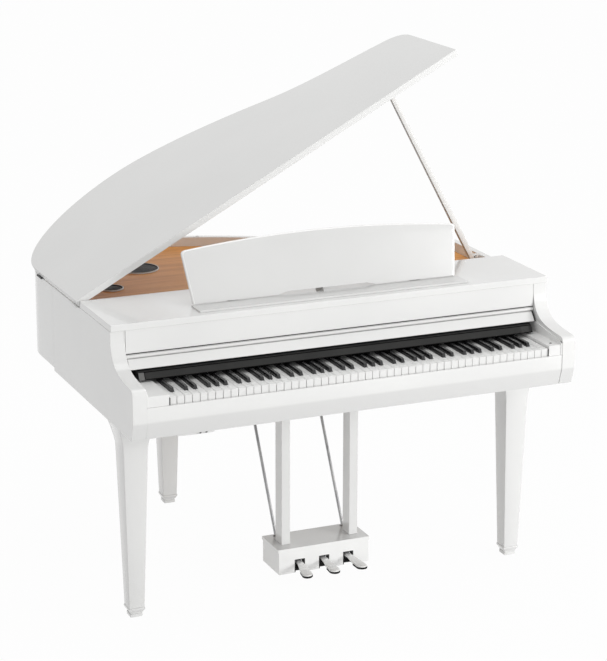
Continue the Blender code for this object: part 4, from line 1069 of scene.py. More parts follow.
class TaperedLeg(NodeTool):
    """Square leg whose half width follows a taper and then a hollow flare."""

    stations: ClassVar[int] = 64
    steps: ClassVar[int] = 3

    def __init__(self) -> None:
        """Builds the tree: a line up the leg, its radius by rule, and a section."""
        names = ("Foot", "Top", "Half", "Slope", "Flare from", "Flare to", "Flare half", "Power", "Corner")
        super().__init__("tapered_leg",
                         [(key, "NodeSocketFloat") for key in names] + [("Finish", "NodeSocketMaterial")])
        maths, start = self.maths, self.given("Flare from")
        ends = [self.node("ShaderNodeCombineXYZ", {"Z": self.given(key)}).outputs[0]
                for key in ("Foot", "Top")]
        line = self.node("GeometryNodeCurvePrimitiveLine", {"Start": ends[0], "End": ends[1]})
        cut = self.node("GeometryNodeResampleCurve", {"Curve": line.outputs[0], "Count": self.stations})
        place = self.node("GeometryNodeInputPosition")
        z = self.node("ShaderNodeSeparateXYZ", {0: place.outputs[0]}).outputs[2]
        straight = maths("MULTIPLY_ADD", maths("MINIMUM", z, start), self.given("Slope"),
                         self.given("Half"))
        rise = maths("MAXIMUM", maths("SUBTRACT", z, start), 0.0)
        run = maths("SUBTRACT", self.given("Flare to"), start)
        part = maths("MINIMUM", maths("DIVIDE", rise, run), 1.0)
        curve = maths("POWER", part, self.given("Power"))
        half = maths("MULTIPLY_ADD", curve, maths("SUBTRACT", self.given("Flare half"), straight), straight)
        sized = self.node("GeometryNodeSetCurveRadius", {"Curve": cut.outputs[0], "Radius": half})
        square = self.node("GeometryNodeCurvePrimitiveQuadrilateral", {"Width": 2.0, "Height": 2.0})
        eased = self.node("GeometryNodeFilletCurve", {
            "Curve": square.outputs[0], "Radius": self.given("Corner"), "Count": self.steps}, mode="POLY")
        radius = self.node("GeometryNodeInputRadius")
        skin = self.node("GeometryNodeCurveToMesh", {
            "Curve": sized.outputs[0], "Profile Curve": eased.outputs[0], "Scale": radius.outputs[0],
            "Fill Caps": True})
        self.close(skin.outputs[0])


def screw_pattern() -> bpy.types.Object:
    """Pan-head screw with a raised cross, head up, as a pattern at the origin.

    Returns:
        The hidden pattern object.
    """
    bm = bmesh.new()
    head = [(0.0030, -0.0008), (0.0030, 0.0003), (0.0024, 0.0010), (0.0013, 0.0013)]
    turned(bm, ORIGIN, head, 12)
    long, thin, low, high = 0.0011, 0.0003, 0.0008, 0.00134
    for a, b in ((long, thin), (thin, long)):
        add_prism(bm, oblong(-a, a, -b, b), ORIGIN, RIGHT, BACK, low, high)
    pattern = finish_mesh(bm, "screw_pattern", SCREW_STEEL, 30)
    pattern.hide_render = True
    return pattern


@dataclass
class Fasteners:
    """Screws, buffers and other small repeats, set out by Geometry Nodes."""

    seed: int = 7
    tool: SetOut = field(default_factory=SetOut)
    screw: bpy.types.Object = field(default_factory=screw_pattern)

    def screws(self, name: str, points: Iterable[Vector], turn: Euler, body: Body,
               finish: Finish = SCREW_STEEL) -> None:
        """Sets screws out with their heads turned one way.

        Args:
            name: Name of the piece.
            points: Where the heads sit.
            turn: Rotation from head up.
            body: Body that they ride on.
            finish: Their finish.
        """
        piece = self.tool.run(name, points_mesh(points), finish, 30, Pattern=self.screw, Turn=tuple(turn),
                              Spin=math.pi, Seed=self.seed)
        carry(piece, body)

    def copies(self, name: str, pattern: bpy.types.Object, points: Iterable[Vector],
               finish: Finish) -> bpy.types.Object:
        """Sets plain copies of a pattern out at points.

        Args:
            name: Name of the piece.
            pattern: Pattern object at the origin.
            points: Where the copies go.
            finish: Their finish.

        Returns:
            The new piece.
        """
        return self.tool.run(name, points_mesh(points), finish, Pattern=pattern, Turn=(0.0, 0.0, 0.0),
                             Spin=0.0, Seed=self.seed)

    def clear(self) -> None:
        """Removes the screw pattern when all is set out."""
        bpy.data.objects.remove(self.screw, do_unlink=True)


# Sub-assemblies


@dataclass
class TailPlan:
    """Plan of the curved case, shared by the rim and the lid."""

    left: tuple = (-M.side, 0.900)
    left_out: tuple = (-M.side, 1.090)
    crown_in: tuple = (-0.490, M.depth)
    crown: tuple = (-0.270, M.depth)
    crown_out: tuple = (-0.130, M.depth)
    waist_in: tuple = (0.070, 1.1424)
    waist: tuple = (0.230, 1.040)
    waist_out: tuple = (0.310, 0.9888)
    flank_in: tuple = (0.380, 0.9635)
    flank: tuple = (0.460, 0.9405)
    corner: tuple = (0.645, 0.8875)
    corner_out: tuple = (0.690, 0.8746)
    corner_side_in: tuple = (M.side, 0.845)
    corner_side: tuple = (M.side, 0.800)
    steps: int = 26

    def run(self, left_start: float, right_end: float) -> Plan:
        """Outer edge from the left side round the tail to the right side.

        Args:
            left_start: Depth where it starts on the left.
            right_end: Depth where it ends on the right.

        Returns:
            The points of the edge.
        """
        points = [(-M.side, left_start)]
        points += curve_points(self.left, self.left_out, self.crown_in, self.crown, self.steps)
        points += curve_points(self.crown, self.crown_out, self.waist_in, self.waist, self.steps)
        points += curve_points(self.waist, self.waist_out, self.flank_in, self.flank, self.steps // 2)
        points += [self.flank]
        points += curve_points(self.corner, self.corner_out, self.corner_side_in, self.corner_side,
                               self.steps // 2)
        return points + [self.corner_side, (M.side, right_end)]


@dataclass
class CaseWork:
    """Sides with their swept arms, the curved rim, and the boards between."""

    tail: TailPlan
    fasteners: Fasteners
    rear_left: float = 0.750
    rear_right: float = 0.700
    chin: float = 0.690
    chin_back: float = 0.0165
    tip: float = 0.766
    board_rear: float = 0.4735
    board_thickness: float = 0.020
    arm_rear: float = 0.2085
    sweep_rear: float = 0.190
    slip_top: float = 0.7300
    crest_from: float = 0.70
    rounding: float = 0.0016
    near: float = 0.001
    # Rise of the black felt strips that stand in as painted shade in the joints.
    slip_gap: float = 0.0012
    shadow_lining: float = 0.0006
    fillet_out: float = 0.0012
    fillet_in: float = 0.0020

    def arm_profile(self) -> Plan:
        """Side view of an arm from its chin to the top of its sweep.

        Returns:
            The points, in depths and heights.
        """
        foot, middle, top = (0.015, 0.7875), (0.120, 0.8005), (self.sweep_rear, 0.880)
        points = [(0.0, self.chin)]
        points += curve_points((0.0, self.tip), (0.0, self.tip + 0.014), (0.004, self.tip + 0.019), foot, 8)
        points += curve_points(foot, (0.050, 0.7905), (0.090, 0.7925), middle, 14)
        points += curve_points(middle, (0.158, 0.8105), (0.184, 0.834), top, 18)
        return points + [top]

    def side_skin(self, arm: Plan, wall: Plan, sign: int) -> bmesh.types.BMesh:
        """Makes one closed skin of a thick arm and its thinner wall.

        Args:
            arm: Side view of the arm from its chin to the top board.
            wall: Side view of the wall, its first and last points on the step.
            sign: -1 for the left side, 1 for the right.

        Returns:
            The skin.
        """
        bm = bmesh.new()
        outer, step, inner = (
            [bm.verts.new(M.at(sign * (M.side - deep), d, z)) for d, z in line]
            for deep, line in ((0.0, arm + wall), (M.panel, wall), (M.arm, arm + [wall[0], wall[-1]])))
        top, last = len(arm), len(arm) + len(wall) - 1
        for i in range(top - 1):
            bm.faces.new((outer[i], outer[i + 1], inner[i + 1], inner[i]))
        bm.faces.new((outer[top - 1], outer[top], step[0], inner[top], inner[top - 1]))
        for i in range(len(wall) - 1):
            bm.faces.new((outer[top + i], outer[top + i + 1], step[i + 1], step[i]))
        bm.faces.new((outer[last], outer[0], inner[0], inner[top + 1], step[-1]))
        bm.faces.new((step[0], step[-1], inner[top + 1], inner[top]))
        for ring in (outer, step, inner):
            bm.faces.new(ring)
        return bm

    def build_sides(self) -> None:
        """Builds both sides: thick arms in front, thinner walls behind."""
        under = M.top - self.board_thickness - M.gap
        for sign, rear, node in ((-1, self.rear_left, "side_left"), (1, self.rear_right, "side_right")):
            arm = [(self.chin_back, M.case_bottom), *self.arm_profile(), (self.sweep_rear, under)]
            wall = [(self.arm_rear, under), (self.board_rear + M.gap, under),
                    (self.board_rear + M.gap, M.rim_top)]
            wall += [(rear - M.gap, M.rim_top), (rear - M.gap, M.case_bottom),
                     (self.arm_rear, M.case_bottom)]
            piece = finish_mesh(self.side_skin(arm, wall, sign), "case_" + node, WHITE_FLOOR_REFLECTION)
            joint = rear - M.gap - M.depth / 2
            round_edges(piece, self.rounding, 3, 32, clamp=True, keep=lambda p: p.y > joint - self.near)
            carry(piece, Body.CASE, node)

    def build_rim(self) -> None:
        """Builds the curved rim round the tail."""
        outer = self.tail.run(self.rear_left + M.gap, self.rear_right + M.gap)
        inner = inset(outer, M.panel)
        bm = bmesh.new()
        plan_slab(bm, outer + inner[::-1], M.tail_bottom, M.rim_top)
        piece = finish_mesh(bm, "case_rim", WHITE, 30)
        joints = (self.rear_left + M.gap - M.depth / 2, self.rear_right + M.gap - M.depth / 2)
        round_edges(piece, self.rounding, 3, 40, keep=lambda p: p.y < joints[p.x > 0] + self.near)
        carry(piece, Body.CASE, "rim_tail")

    def build_boards(self) -> None:
        """Builds the top board, the panel above the keys, the bead and slip."""
        squared("top_board", "case_top_board", WHITE, Body.CASE, 0.0017)
        squared("front_panel", "case_front_panel", WHITE, Body.CASE, 0.0008, ends=False)
        slip = softened("key_slip", "case_key_slip", WHITE_FLOOR_REFLECTION, Body.CASE, 0.0007, 2)
        for vert in slip.data.vertices:
            if vert.co.x > 0:
                vert.co.x -= self.slip_gap
        softened("key_block_left", "case_block_left", SATIN, Body.CASE, 0.0006, 2)
        self.build_shadow_linings()
        self.build_fillets()
        softened("keybed", "case_keybed", SATIN, Body.CASE, 0.0010, 2)
        paint(WHITE, "panel_bead")
        paint(SATIN, "key_block_right")
        paint(HARDBOARD, "base_panel")

    def slip_end(self, face: float, foot: tuple[float, float]) -> Plan:
        """Side view of a strip at the end of the slip, from its face to its foot."""
        return [(face, self.chin), (face, self.slip_top), (0.0120, self.slip_top), (0.0260, 0.6370), foot]

    def block_crest(self) -> Plan:
        """Upper edge of the right key block, read from its node.

        Returns:
            Depths and heights along the edge, from the front.
        """
        top = {}
        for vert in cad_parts["key_block_right"].data.vertices:
            depth = round(vert.co.y + M.depth / 2, 3)
            top[depth] = max(top.get(depth, 0.0), vert.co.z)
        return [(d, z) for d, z in sorted(top.items()) if z > self.crest_from]

    def build_shadow_linings(self) -> None:
        """Lays black felt over the bead and along the right arm, painted shade in those joints."""
        bm = bmesh.new()
        block(bm, (-0.6684, 0.6684), (0.1868, 0.1884), (0.8383, 0.8404))
        end = M.side - M.arm - 0.0004
        side_slab(bm, self.slip_end(0.0016, (0.0181, 0.6370)), end - self.slip_gap - self.shadow_lining, end)
        crest = self.block_crest()
        sunk, shortest, wide = 0.003, 0.003, 0.0016
        for (d0, z0), (d1, z1) in zip(crest, crest[1:]):
            if d1 - d0 > shortest:
                strip = [(d0, z0 - sunk), (d1, z1 - sunk), (d1, z1 + self.shadow_lining), (d0, z0 + self.shadow_lining)]
                side_slab(bm, strip, end - wide, end)
        carry(finish_mesh(bm, "joint_linings", FELT, weld=False), Body.CASE)

    def build_fillets(self) -> None:
        """Fills the joints between the left arm and the boards beside it."""
        bm = bmesh.new()
        inner = M.arm - M.side
        span = (inner - self.fillet_in, inner + self.fillet_out)
        block(bm, span, (0.1894, 0.2000), (0.8405, 0.9115))
        side_slab(bm, self.slip_end(0.0002, (0.0170, 0.6360)), *span)
        carry(finish_mesh(bm, "joint_fillets", WHITE_FLOOR_REFLECTION), Body.CASE)

    def build_underside(self) -> None:
        """Sets out the base panel's screws and the rim's rubber buffers."""
        edge = inset(self.tail.run(0.50, 0.50), 0.034)
        points = [M.at(x, d, M.tail_bottom - HAIR) for x, d in edge[2::7]]
        self.fasteners.screws("base_screws", points, HEAD_DOWN, Body.CASE)
        points = [M.at(x, 0.452, M.case_bottom - HAIR)
                  for x in (-0.60, -0.40, -0.20, 0.0, 0.20, 0.40, 0.60)]
        self.fasteners.screws("keybed_screws", points, HEAD_DOWN, Body.CASE)
        bm = bmesh.new()
        turned(bm, ORIGIN, [(0.0055, -0.0006), (0.0055, 0.0009), (0.0045, 0.0016), (0.0020, 0.0018)], 20)
        pattern = finish_mesh(bm, "buffer_pattern", PALE_RUBBER)
        rim = inset(self.tail.run(0.60, 0.60), M.panel / 2)
        picks = [rim[int(len(rim) * share)] for share in (0.10, 0.30, 0.47, 0.62, 0.80, 0.93)]
        points = [M.at(x, d, M.rim_top) for x, d in picks]
        carry(self.fasteners.copies("lid_buffers", pattern, points, PALE_RUBBER), Body.CASE)
        bpy.data.objects.remove(pattern, do_unlink=True)

    def build(self) -> None:
        """Builds the whole case."""
        self.build_sides()
        self.build_rim()
        self.build_boards()
        self.build_underside()


@dataclass
class SpeakerDeck:
    """Veneered board in the case with its four grilles and two woofers."""

    top: float = 0.878
    large: float = 0.062
    small: float = 0.033
    pitch: float = 0.0036
    rise: float = 0.0032
    hole_share: float = 0.62
    sheet: float = 0.0007
    hover: float = 0.0012
    dome_gap: float = 0.0004
    backing: tuple = (-0.0060, -0.0044)
    ring_section: tuple = (
        (-0.0043, -0.0060), (-0.0043, 0.0003), (-0.0006, 0.0003), (-0.0006, 0.0018), (0.0006, 0.0027),
        (0.0026, 0.0030), (0.0046, 0.0024), (0.0058, 0.0012), (0.0060, 0.0003),
        (-0.0002, 0.0003), (-0.0002, -0.0060))
    trim_section: tuple = (
        (0.0026, 0.0002), (0.0027, 0.0032), (0.0033, 0.0039), (0.0048, 0.0040),
        (0.0058, 0.0032), (0.0064, 0.0002))
    spots: dict = field(default_factory=lambda: {
        "left_large": (-0.361, 0.961), "left_small": (-0.519, 0.762),
        "right_large": (0.361, 0.720), "right_small": (0.519, 0.670)})

    @staticmethod
    def add_ring(bm: bmesh.types.BMesh, rings: Sequence[Ring]) -> None:
        """Adds a closed hoop whose section runs through rings of points.

        Args:
            bm: Mesh to add to.
            rings: The rings, in order round the section.
        """
        rows = [[bm.verts.new(point) for point in ring] for ring in rings]
        for low, high in zip(rows, rows[1:] + rows[:1]):
            for i in range(len(low)):
                j = (i + 1) % len(low)
                bm.faces.new((low[i], low[j], high[j], high[i]))

    def build_grille(self, tool: Perforated, name: str, x: float, d: float, radius: float) -> None:
        """Builds one grille: perforated dome, backing, raised ring and bright trim.

        Args:
            tool: The tree for the dome.
            name: Which grille it is.
            x: Sideways position.
            d: Depth behind the front.
            radius: Radius of the opening.
        """
        dome = tool.run("dome_" + name, points_mesh([]), MESH_CLOTH, 60, Pitch=self.pitch,
                        Radius=radius - self.dome_gap, Rise=self.rise, Open=self.hole_share,
                        Thickness=self.sheet)
        dome.data.transform(Matrix.Translation(M.at(x, d, self.top + self.hover)))
        carry(dome, Body.CASE, "grille_" + name)
        bm = bmesh.new()
        turned(bm, M.at(x, d, self.top), oblong(0.001, radius - 0.0006, *self.backing), 40)
        carry(finish_mesh(bm, "backing_" + name, CONE), Body.CASE)
        for kind, section, finish in (("ring_", self.ring_section, BLACK),
                                      ("trim_", self.trim_section, RING_METAL)):
            bm = bmesh.new()
            self.add_ring(bm, [disc_ring(M.at(x, d, self.top + z), RIGHT, BACK, radius + r, 64)
                               for r, z in section])
            carry(finish_mesh(bm, kind + name, finish, 50), Body.CASE)

    def build(self) -> None:
        """Builds the deck, its grilles, and dresses the woofers below it."""
        paint(WOOD, "speaker_board")
        paint(CONE, "woofer_left", "woofer_right")
        tool = Perforated()
        for name, (x, d) in self.spots.items():
            self.build_grille(tool, name, x, d, self.large if "large" in name else self.small)


@dataclass
class Lid:
    """Curved lid on two hinges, with its cup for the prop."""

    tail: TailPlan
    fasteners: Fasteners
    angle: float = math.radians(28.44)
    thickness: float = 0.0202
    hinge_out: float = 0.004
    hinge_z: float = 0.9105
    front: float = 0.4760
    rounding: float = 0.0020
    screw_rows: tuple = (0.510, 0.872)
    screw_pitch: float = 0.016
    screw_out: float = 0.013
    screw_sunk: float = 0.0010

    def axes(self) -> tuple[Vector, Vector, Vector]:
        """Finds the open lid's hinge point and directions.

        Returns:
            The hinge point, and the directions across and along the lid.
        """
        hinge = M.at(-M.side - self.hinge_out, 0, self.hinge_z)
        across = Vector((math.cos(self.angle), 0, math.sin(self.angle)))
        return hinge, across, BACK

    def build(self) -> None:
        """Builds the lid and its hinges' screws."""
        hinge, across, along = self.axes()
        outline = [(x + M.side + self.hinge_out, d) for x, d in self.tail.run(self.front, self.front)]
        low = M.top - self.thickness - self.hinge_z
        bm = bmesh.new()
        add_prism(bm, outline[::-1], hinge, across, along, low, low + self.thickness)
        piece = finish_mesh(bm, "lid_panel", LID_PAINTED_SHADE, 30)
        # Painted light: the lid's edges take a lighter copy of the lacquer than its top.
        face_coat(piece, LID_EDGE_PAINTED_LIGHT, lambda normal: abs(normal.dot(across.cross(along))) < 0.5)
        round_edges(piece, self.rounding, 4, 40)
        carry(piece, Body.LID, "lid")
        softened("lid_cup", "lid_prop_cup", BLACK, Body.LID, 0.0008, 2)
        paint(SATIN, "hinge_front_case", "hinge_front_lid")
        paint(IRON, "hinge_rear_case", "hinge_rear_lid")
        self.build_screws(hinge, across, low)

    def build_screws(self, hinge: Vector, across: Vector, low: float) -> None:
        """Sets the hinge screws out under the lid.

        Args:
            hinge: Point on the hinge line.
            across: Direction across the lid.
            low: Height of the lid's underside above the hinge line.
        """
        sunk = across.cross(BACK) * (low - self.screw_sunk)
        points = [hinge + across * self.screw_out + BACK * (row + step * self.screw_pitch) + sunk
                  for row in self.screw_rows for step in (-1, 0, 1)]
        turn = Euler((0, math.pi - self.angle, 0))
        self.fasteners.screws("lid_hinge_screws", points, turn, Body.LID, IRON)


@dataclass
class Prop:
    """Stick that holds the lid up, on its bracket."""

    lid: Lid
    fasteners: Fasteners
    pivot: tuple = (0.6675, 0.580, 0.9074)
    angle: float = math.radians(61.56)
    offsets: tuple = (0.0113, 0.0085)
    widths: tuple = (0.0165, 0.0140)
    thicknesses: tuple = (0.0140, 0.0100)
    swell: float = 0.0040
    eye: float = 0.0085
    tip_gap: float = 0.0021
    corner: float = 0.0016
    stations: int = 24

    def build(self) -> None:
        """Builds the stick from its eye to the lid's cup."""
        pivot = M.at(*self.pivot)
        along = Vector((-math.cos(self.angle), 0, math.sin(self.angle)))
        left = Vector((-math.sin(self.angle), 0, -math.cos(self.angle)))
        hinge, across, _ = self.lid.axes()
        low = M.top - self.lid.thickness - self.lid.hinge_z
        length = low - (pivot - hinge).dot(across.cross(BACK)) - self.tip_gap
        bm = bmesh.new()
        rings = []
        stations = [(-0.0040, 0.0, 0.72), (-0.0030, 0.0, 0.92), (-0.0015, 0.0, 1.0)]
        stations += [(length * i / self.stations, i / self.stations, 1.0) for i in range(1, self.stations)]
        stations += [(length - 0.0012, 1.0, 1.0), (length - 0.0004, 1.0, 0.93), (length, 1.0, 0.80)]
        for where, part, size in stations:
            offset = self.offsets[0] + (self.offsets[1] - self.offsets[0]) * part
            swell = self.swell * min(1.0, 7.0 * part, 9.0 * (1.0 - part))
            width = (self.widths[0] + (self.widths[1] - self.widths[0]) * part + 0.4 * swell) * size
            thick = (self.thicknesses[0] + (self.thicknesses[1] - self.thicknesses[0]) * part + swell) * size
            centre = pivot + along * where + left * offset
            rings.append(soft_ring(centre, left, BACK, width / 2, thick / 2, self.corner))
        add_loft(bm, rings)
        half = self.thicknesses[0] / 2
        rod(bm, pivot - BACK * half, pivot + BACK * half, self.eye, 32, 0.0008)
        stick = finish_mesh(bm, "prop_stick", PROP_PAINTED_SHADE, 20)
        # Painted shade on the stick's left-facing faces.
        face_coat(stick, PROP_SIDE_PAINTED_SHADE, lambda normal: normal.dot(left) > 0.5)
        carry(stick, Body.PROP, "lid_prop")
        bm = bmesh.new()
        face = pivot - BACK * (half + HAIR)
        rod(bm, face, face - BACK * 0.0014, 0.0046, 24, 0.0005)
        rod(bm, face - BACK * 0.0012, face - BACK * 0.0020, 0.0028, 6, 0.0003)
        carry(finish_mesh(bm, "prop_pin_head", BLACK, 30), Body.PROP)
        paint(WHITE, "prop_bracket")
        wall, height = M.side - M.panel - 0.0034, self.pivot[2] - 0.018
        spots = [M.at(wall, self.pivot[1] + step, height) for step in (-0.006, 0.006)]
        self.fasteners.screws("bracket_screws", spots, Euler((0, -math.pi / 2, 0)), Body.CASE)


@dataclass
class MusicDesk:
    """Leaning desk with an eased edge, its ledge, and the stay behind it."""

    centre: float = 0.0115
    half_bottom: float = 0.4330
    half_top: float = 0.4530
    side: float = 0.1600
    crown: float = 0.0245
    corner: float = 0.013
    thickness: float = 0.012
    tilt: float = math.radians(17.0)
    foot: tuple = (0.2850, 0.9385)
    ease: float = 0.0080
    drop: float = 0.0042
    notch_foot: float = 0.1640
    notch_top: float = 0.1320
    notch_rise: float = 0.0085
    lift: float = 0.002
    crown_steps: int = 40
    ease_steps: int = 7
    lug_radius: float = 0.0045
    lug_behind: float = 0.0065
    stay_height: float = 0.060
    pin_half: float = 0.0173

    def outline(self) -> Plan:
        """Front view of the desk: notched foot, flared sides, crowned top.

        Returns:
            The closed outline, from the left end of its foot.
        """
        points = [(-self.half_bottom, 0.0), (-self.notch_foot, 0.0), (-self.notch_top, self.notch_rise),
                  (self.notch_top, self.notch_rise), (self.notch_foot, 0.0), (self.half_bottom, 0.0)]
        half = self.half_top - self.corner
        bend = curve_points((self.half_top - 0.001, self.side - self.corner),
                            (self.half_top, self.side - 0.004),
                            (self.half_top - 0.004, self.side + 0.0005), (half, self.side + self.lift), 8)
        points += bend
        for i in range(self.crown_steps + 1):
            x = half - 2 * half * i / self.crown_steps
            points.append((x, self.side + self.lift + self.crown * (1 - (x / half) ** 2)))
        return points + [(-x, z) for x, z in bend[::-1]]

    def axes(self) -> tuple[Vector, Vector, Vector]:
        """Finds the desk's place and directions.

        Returns:
            The middle of its front lower edge, and the directions up its face and behind it.
        """
        up = Vector((0, math.sin(self.tilt), math.cos(self.tilt)))
        back = Vector((0, math.cos(self.tilt), -math.sin(self.tilt)))
        return M.at(self.centre, *self.foot), up, back

    def lug(self, height: float) -> Plan:
        """Side view of a lug with a round end behind the desk.

        Args:
            height: Height of its middle above the desk's foot.

        Returns:
            Heights and distances behind the front face.
        """
        near, middle = self.thickness - 0.002, self.thickness + self.lug_behind
        shape = [(height - self.lug_radius, near), (height + self.lug_radius, near)]
        for i in range(9):
            turn = math.pi / 2 - math.pi * i / 8
            shape.append((height + self.lug_radius * math.sin(turn),
                          middle + self.lug_radius * math.cos(turn)))
        return shape

    def build_panel(self) -> None:
        """Builds the desk's panel with its eased edge, and its lugs."""
        foot, up, back = self.axes()
        high = self.side + self.lift + self.crown
        levels = [(0.0008, self.thickness), (0.0, self.thickness - 0.0008)]
        for i in range(self.ease_steps + 1):
            turn = math.pi / 2 * i / self.ease_steps
            levels.append((self.ease * (1 - math.cos(turn)), self.drop * (1 - math.sin(turn))))
        rings = []
        for shrink, behind in levels:
            ring = []
            for x, z in self.outline():
                px = x * (1 - shrink / self.half_top)
                pz = z * (1 - shrink / high)
                ring.append(foot + RIGHT * px + up * pz + back * behind)
            rings.append(ring)
        bm = bmesh.new()
        add_loft(bm, rings)
        for x, half_width, height in ((0.300, 0.012, 0.0125), (0.0143, 0.002, self.stay_height)):
            for sign in (-1, 1):
                origin = foot + RIGHT * (sign * x)
                add_prism(bm, self.lug(height), origin, up, back, -half_width, half_width)
        # Painted shade: the desk is the darker copy of the white lacquer, standing in for the duller light
        # on its leaning face.
        piece = finish_mesh(bm, "desk_panel", WHITE_DEEP_PAINTED_SHADE, 40)
        # Painted highlight on the eased edge, the bright band where it catches the light.
        face_coat(piece, WHITE_PAINTED_HIGHLIGHT, lambda normal: abs(normal.dot(back)) < 0.98 and normal.z > -0.2)
        carry(piece, Body.DESK, "music_desk")
        bm = bmesh.new()
        hinge = foot + up * self.stay_height + back * (self.thickness + self.lug_behind)
        rod(bm, hinge - RIGHT * self.pin_half, hinge + RIGHT * self.pin_half, 0.0022, 16)
        carry(finish_mesh(bm, "desk_stay_pin", IRON), Body.DESK)

    def build(self) -> None:
        """Builds the desk and dresses its ledge and stay."""
        self.build_panel()
        # Painted shade: the ledge takes the darker copy of the white lacquer.
        paint(WHITE_DEEP_PAINTED_SHADE, "desk_rail")
        paint(IRON, "desk_stay")


@dataclass
class ControlStrip:
    """Black strip above the keys with its glossy dark face."""

    foot: tuple = (0.1410, 0.7695)
    edge: tuple = (0.1545, 0.7910)
    lens: tuple = (0.606, 0.634)
    lens_margin: float = 0.0030
    left: float = -0.6440
    seam: float = -0.6268
    seam_width: float = 0.0018
    right: float = 0.6425
    band_margin: float = 0.0002
    band_end: float = 0.0020

    def build(self) -> None:
        """Dresses the strip and adds its lens, its end cap, and black bands: those along its foot and top
        are painted shadow, one marks the seam by the cap.
        """
        paint(BLACK, "control_strip")
        paint(PANEL_GLASS, "control_face")
        along = Vector((0, self.edge[0] - self.foot[0], self.edge[1] - self.foot[1]))
        length = along.length
        along.normalize()
        top, seam = length - self.band_end, self.seam
        lens = [((*self.lens, self.lens_margin, length - self.lens_margin), 0.0007)]
        # The first two bands are painted shadow along the strip's foot and top; the third is the seam by the
        # end cap.
        bands = [((seam, self.right, self.band_margin, self.band_end), 0.0008),
                 ((seam, self.right, top, length - self.band_margin), 0.0008),
                 ((seam, seam + self.seam_width, HAIR, length - HAIR), 0.0009)]
        cap = [((self.left, seam - HAIR, 0.0006, top), 0.0006)]
        for name, finish, plates in (("lens", LENS, lens), ("bands", SHADOW_AND_SEAM_BLACK, bands), ("end_cap", CAP, cap)):
            bm = bmesh.new()
            for span, proud in plates:
                add_prism(bm, oblong(*span), M.at(0, *self.foot), RIGHT, along, M.gap, proud)
            carry(finish_mesh(bm, "strip_" + name, finish, weld=False), Body.CASE)


@dataclass
class KeyCover:
    """Sliding cover over the keys, with a black pad at its right end."""

    foot: tuple = (0.0210, 0.7745)
    rest: float = 0.0007
    nose: float = 0.1660
    lean: float = 0.0210
    height: float = 0.0272
    half: float = 0.6640
    reach: float = 0.0058
    pad: float = 0.0046
    proud: float = 0.0004
    slope: float = math.radians(8.05)

    def under(self, d: float) -> float:
        """Height of the cover's underside at a depth."""
        return self.foot[1] + math.tan(self.slope) * (d - self.foot[0]) + self.rest

    def build(self) -> None:
        """Builds the cover and its end pad."""
        panel = softened("key_cover", "cover_panel", WHITE, Body.COVER, 0.0011)
        left = min(v.co.x for v in panel.data.vertices)
        for vert in panel.data.vertices:
            if vert.co.x < left + 0.001:
                vert.co.x -= self.reach
        nose_z = self.under(self.nose)
        top_d = self.nose + self.lean
        top_z = nose_z + self.height
        outline = [(self.nose + 0.002, nose_z - 0.0002), (self.nose - self.proud, nose_z + 0.002),
                   (top_d - 0.002 - self.proud, top_z - 0.002), (top_d - self.proud, top_z + self.proud),
                   (top_d + 0.012, top_z + 0.0008 + self.proud), (top_d + 0.012, nose_z + 0.004)]
        bm = bmesh.new()
        side_slab(bm, outline, self.half - 0.0008, self.half + self.pad)
        piece = finish_mesh(bm, "cover_end_pad", RUBBER)
        round_edges(piece, 0.0008, 2)
        carry(piece, Body.COVER)


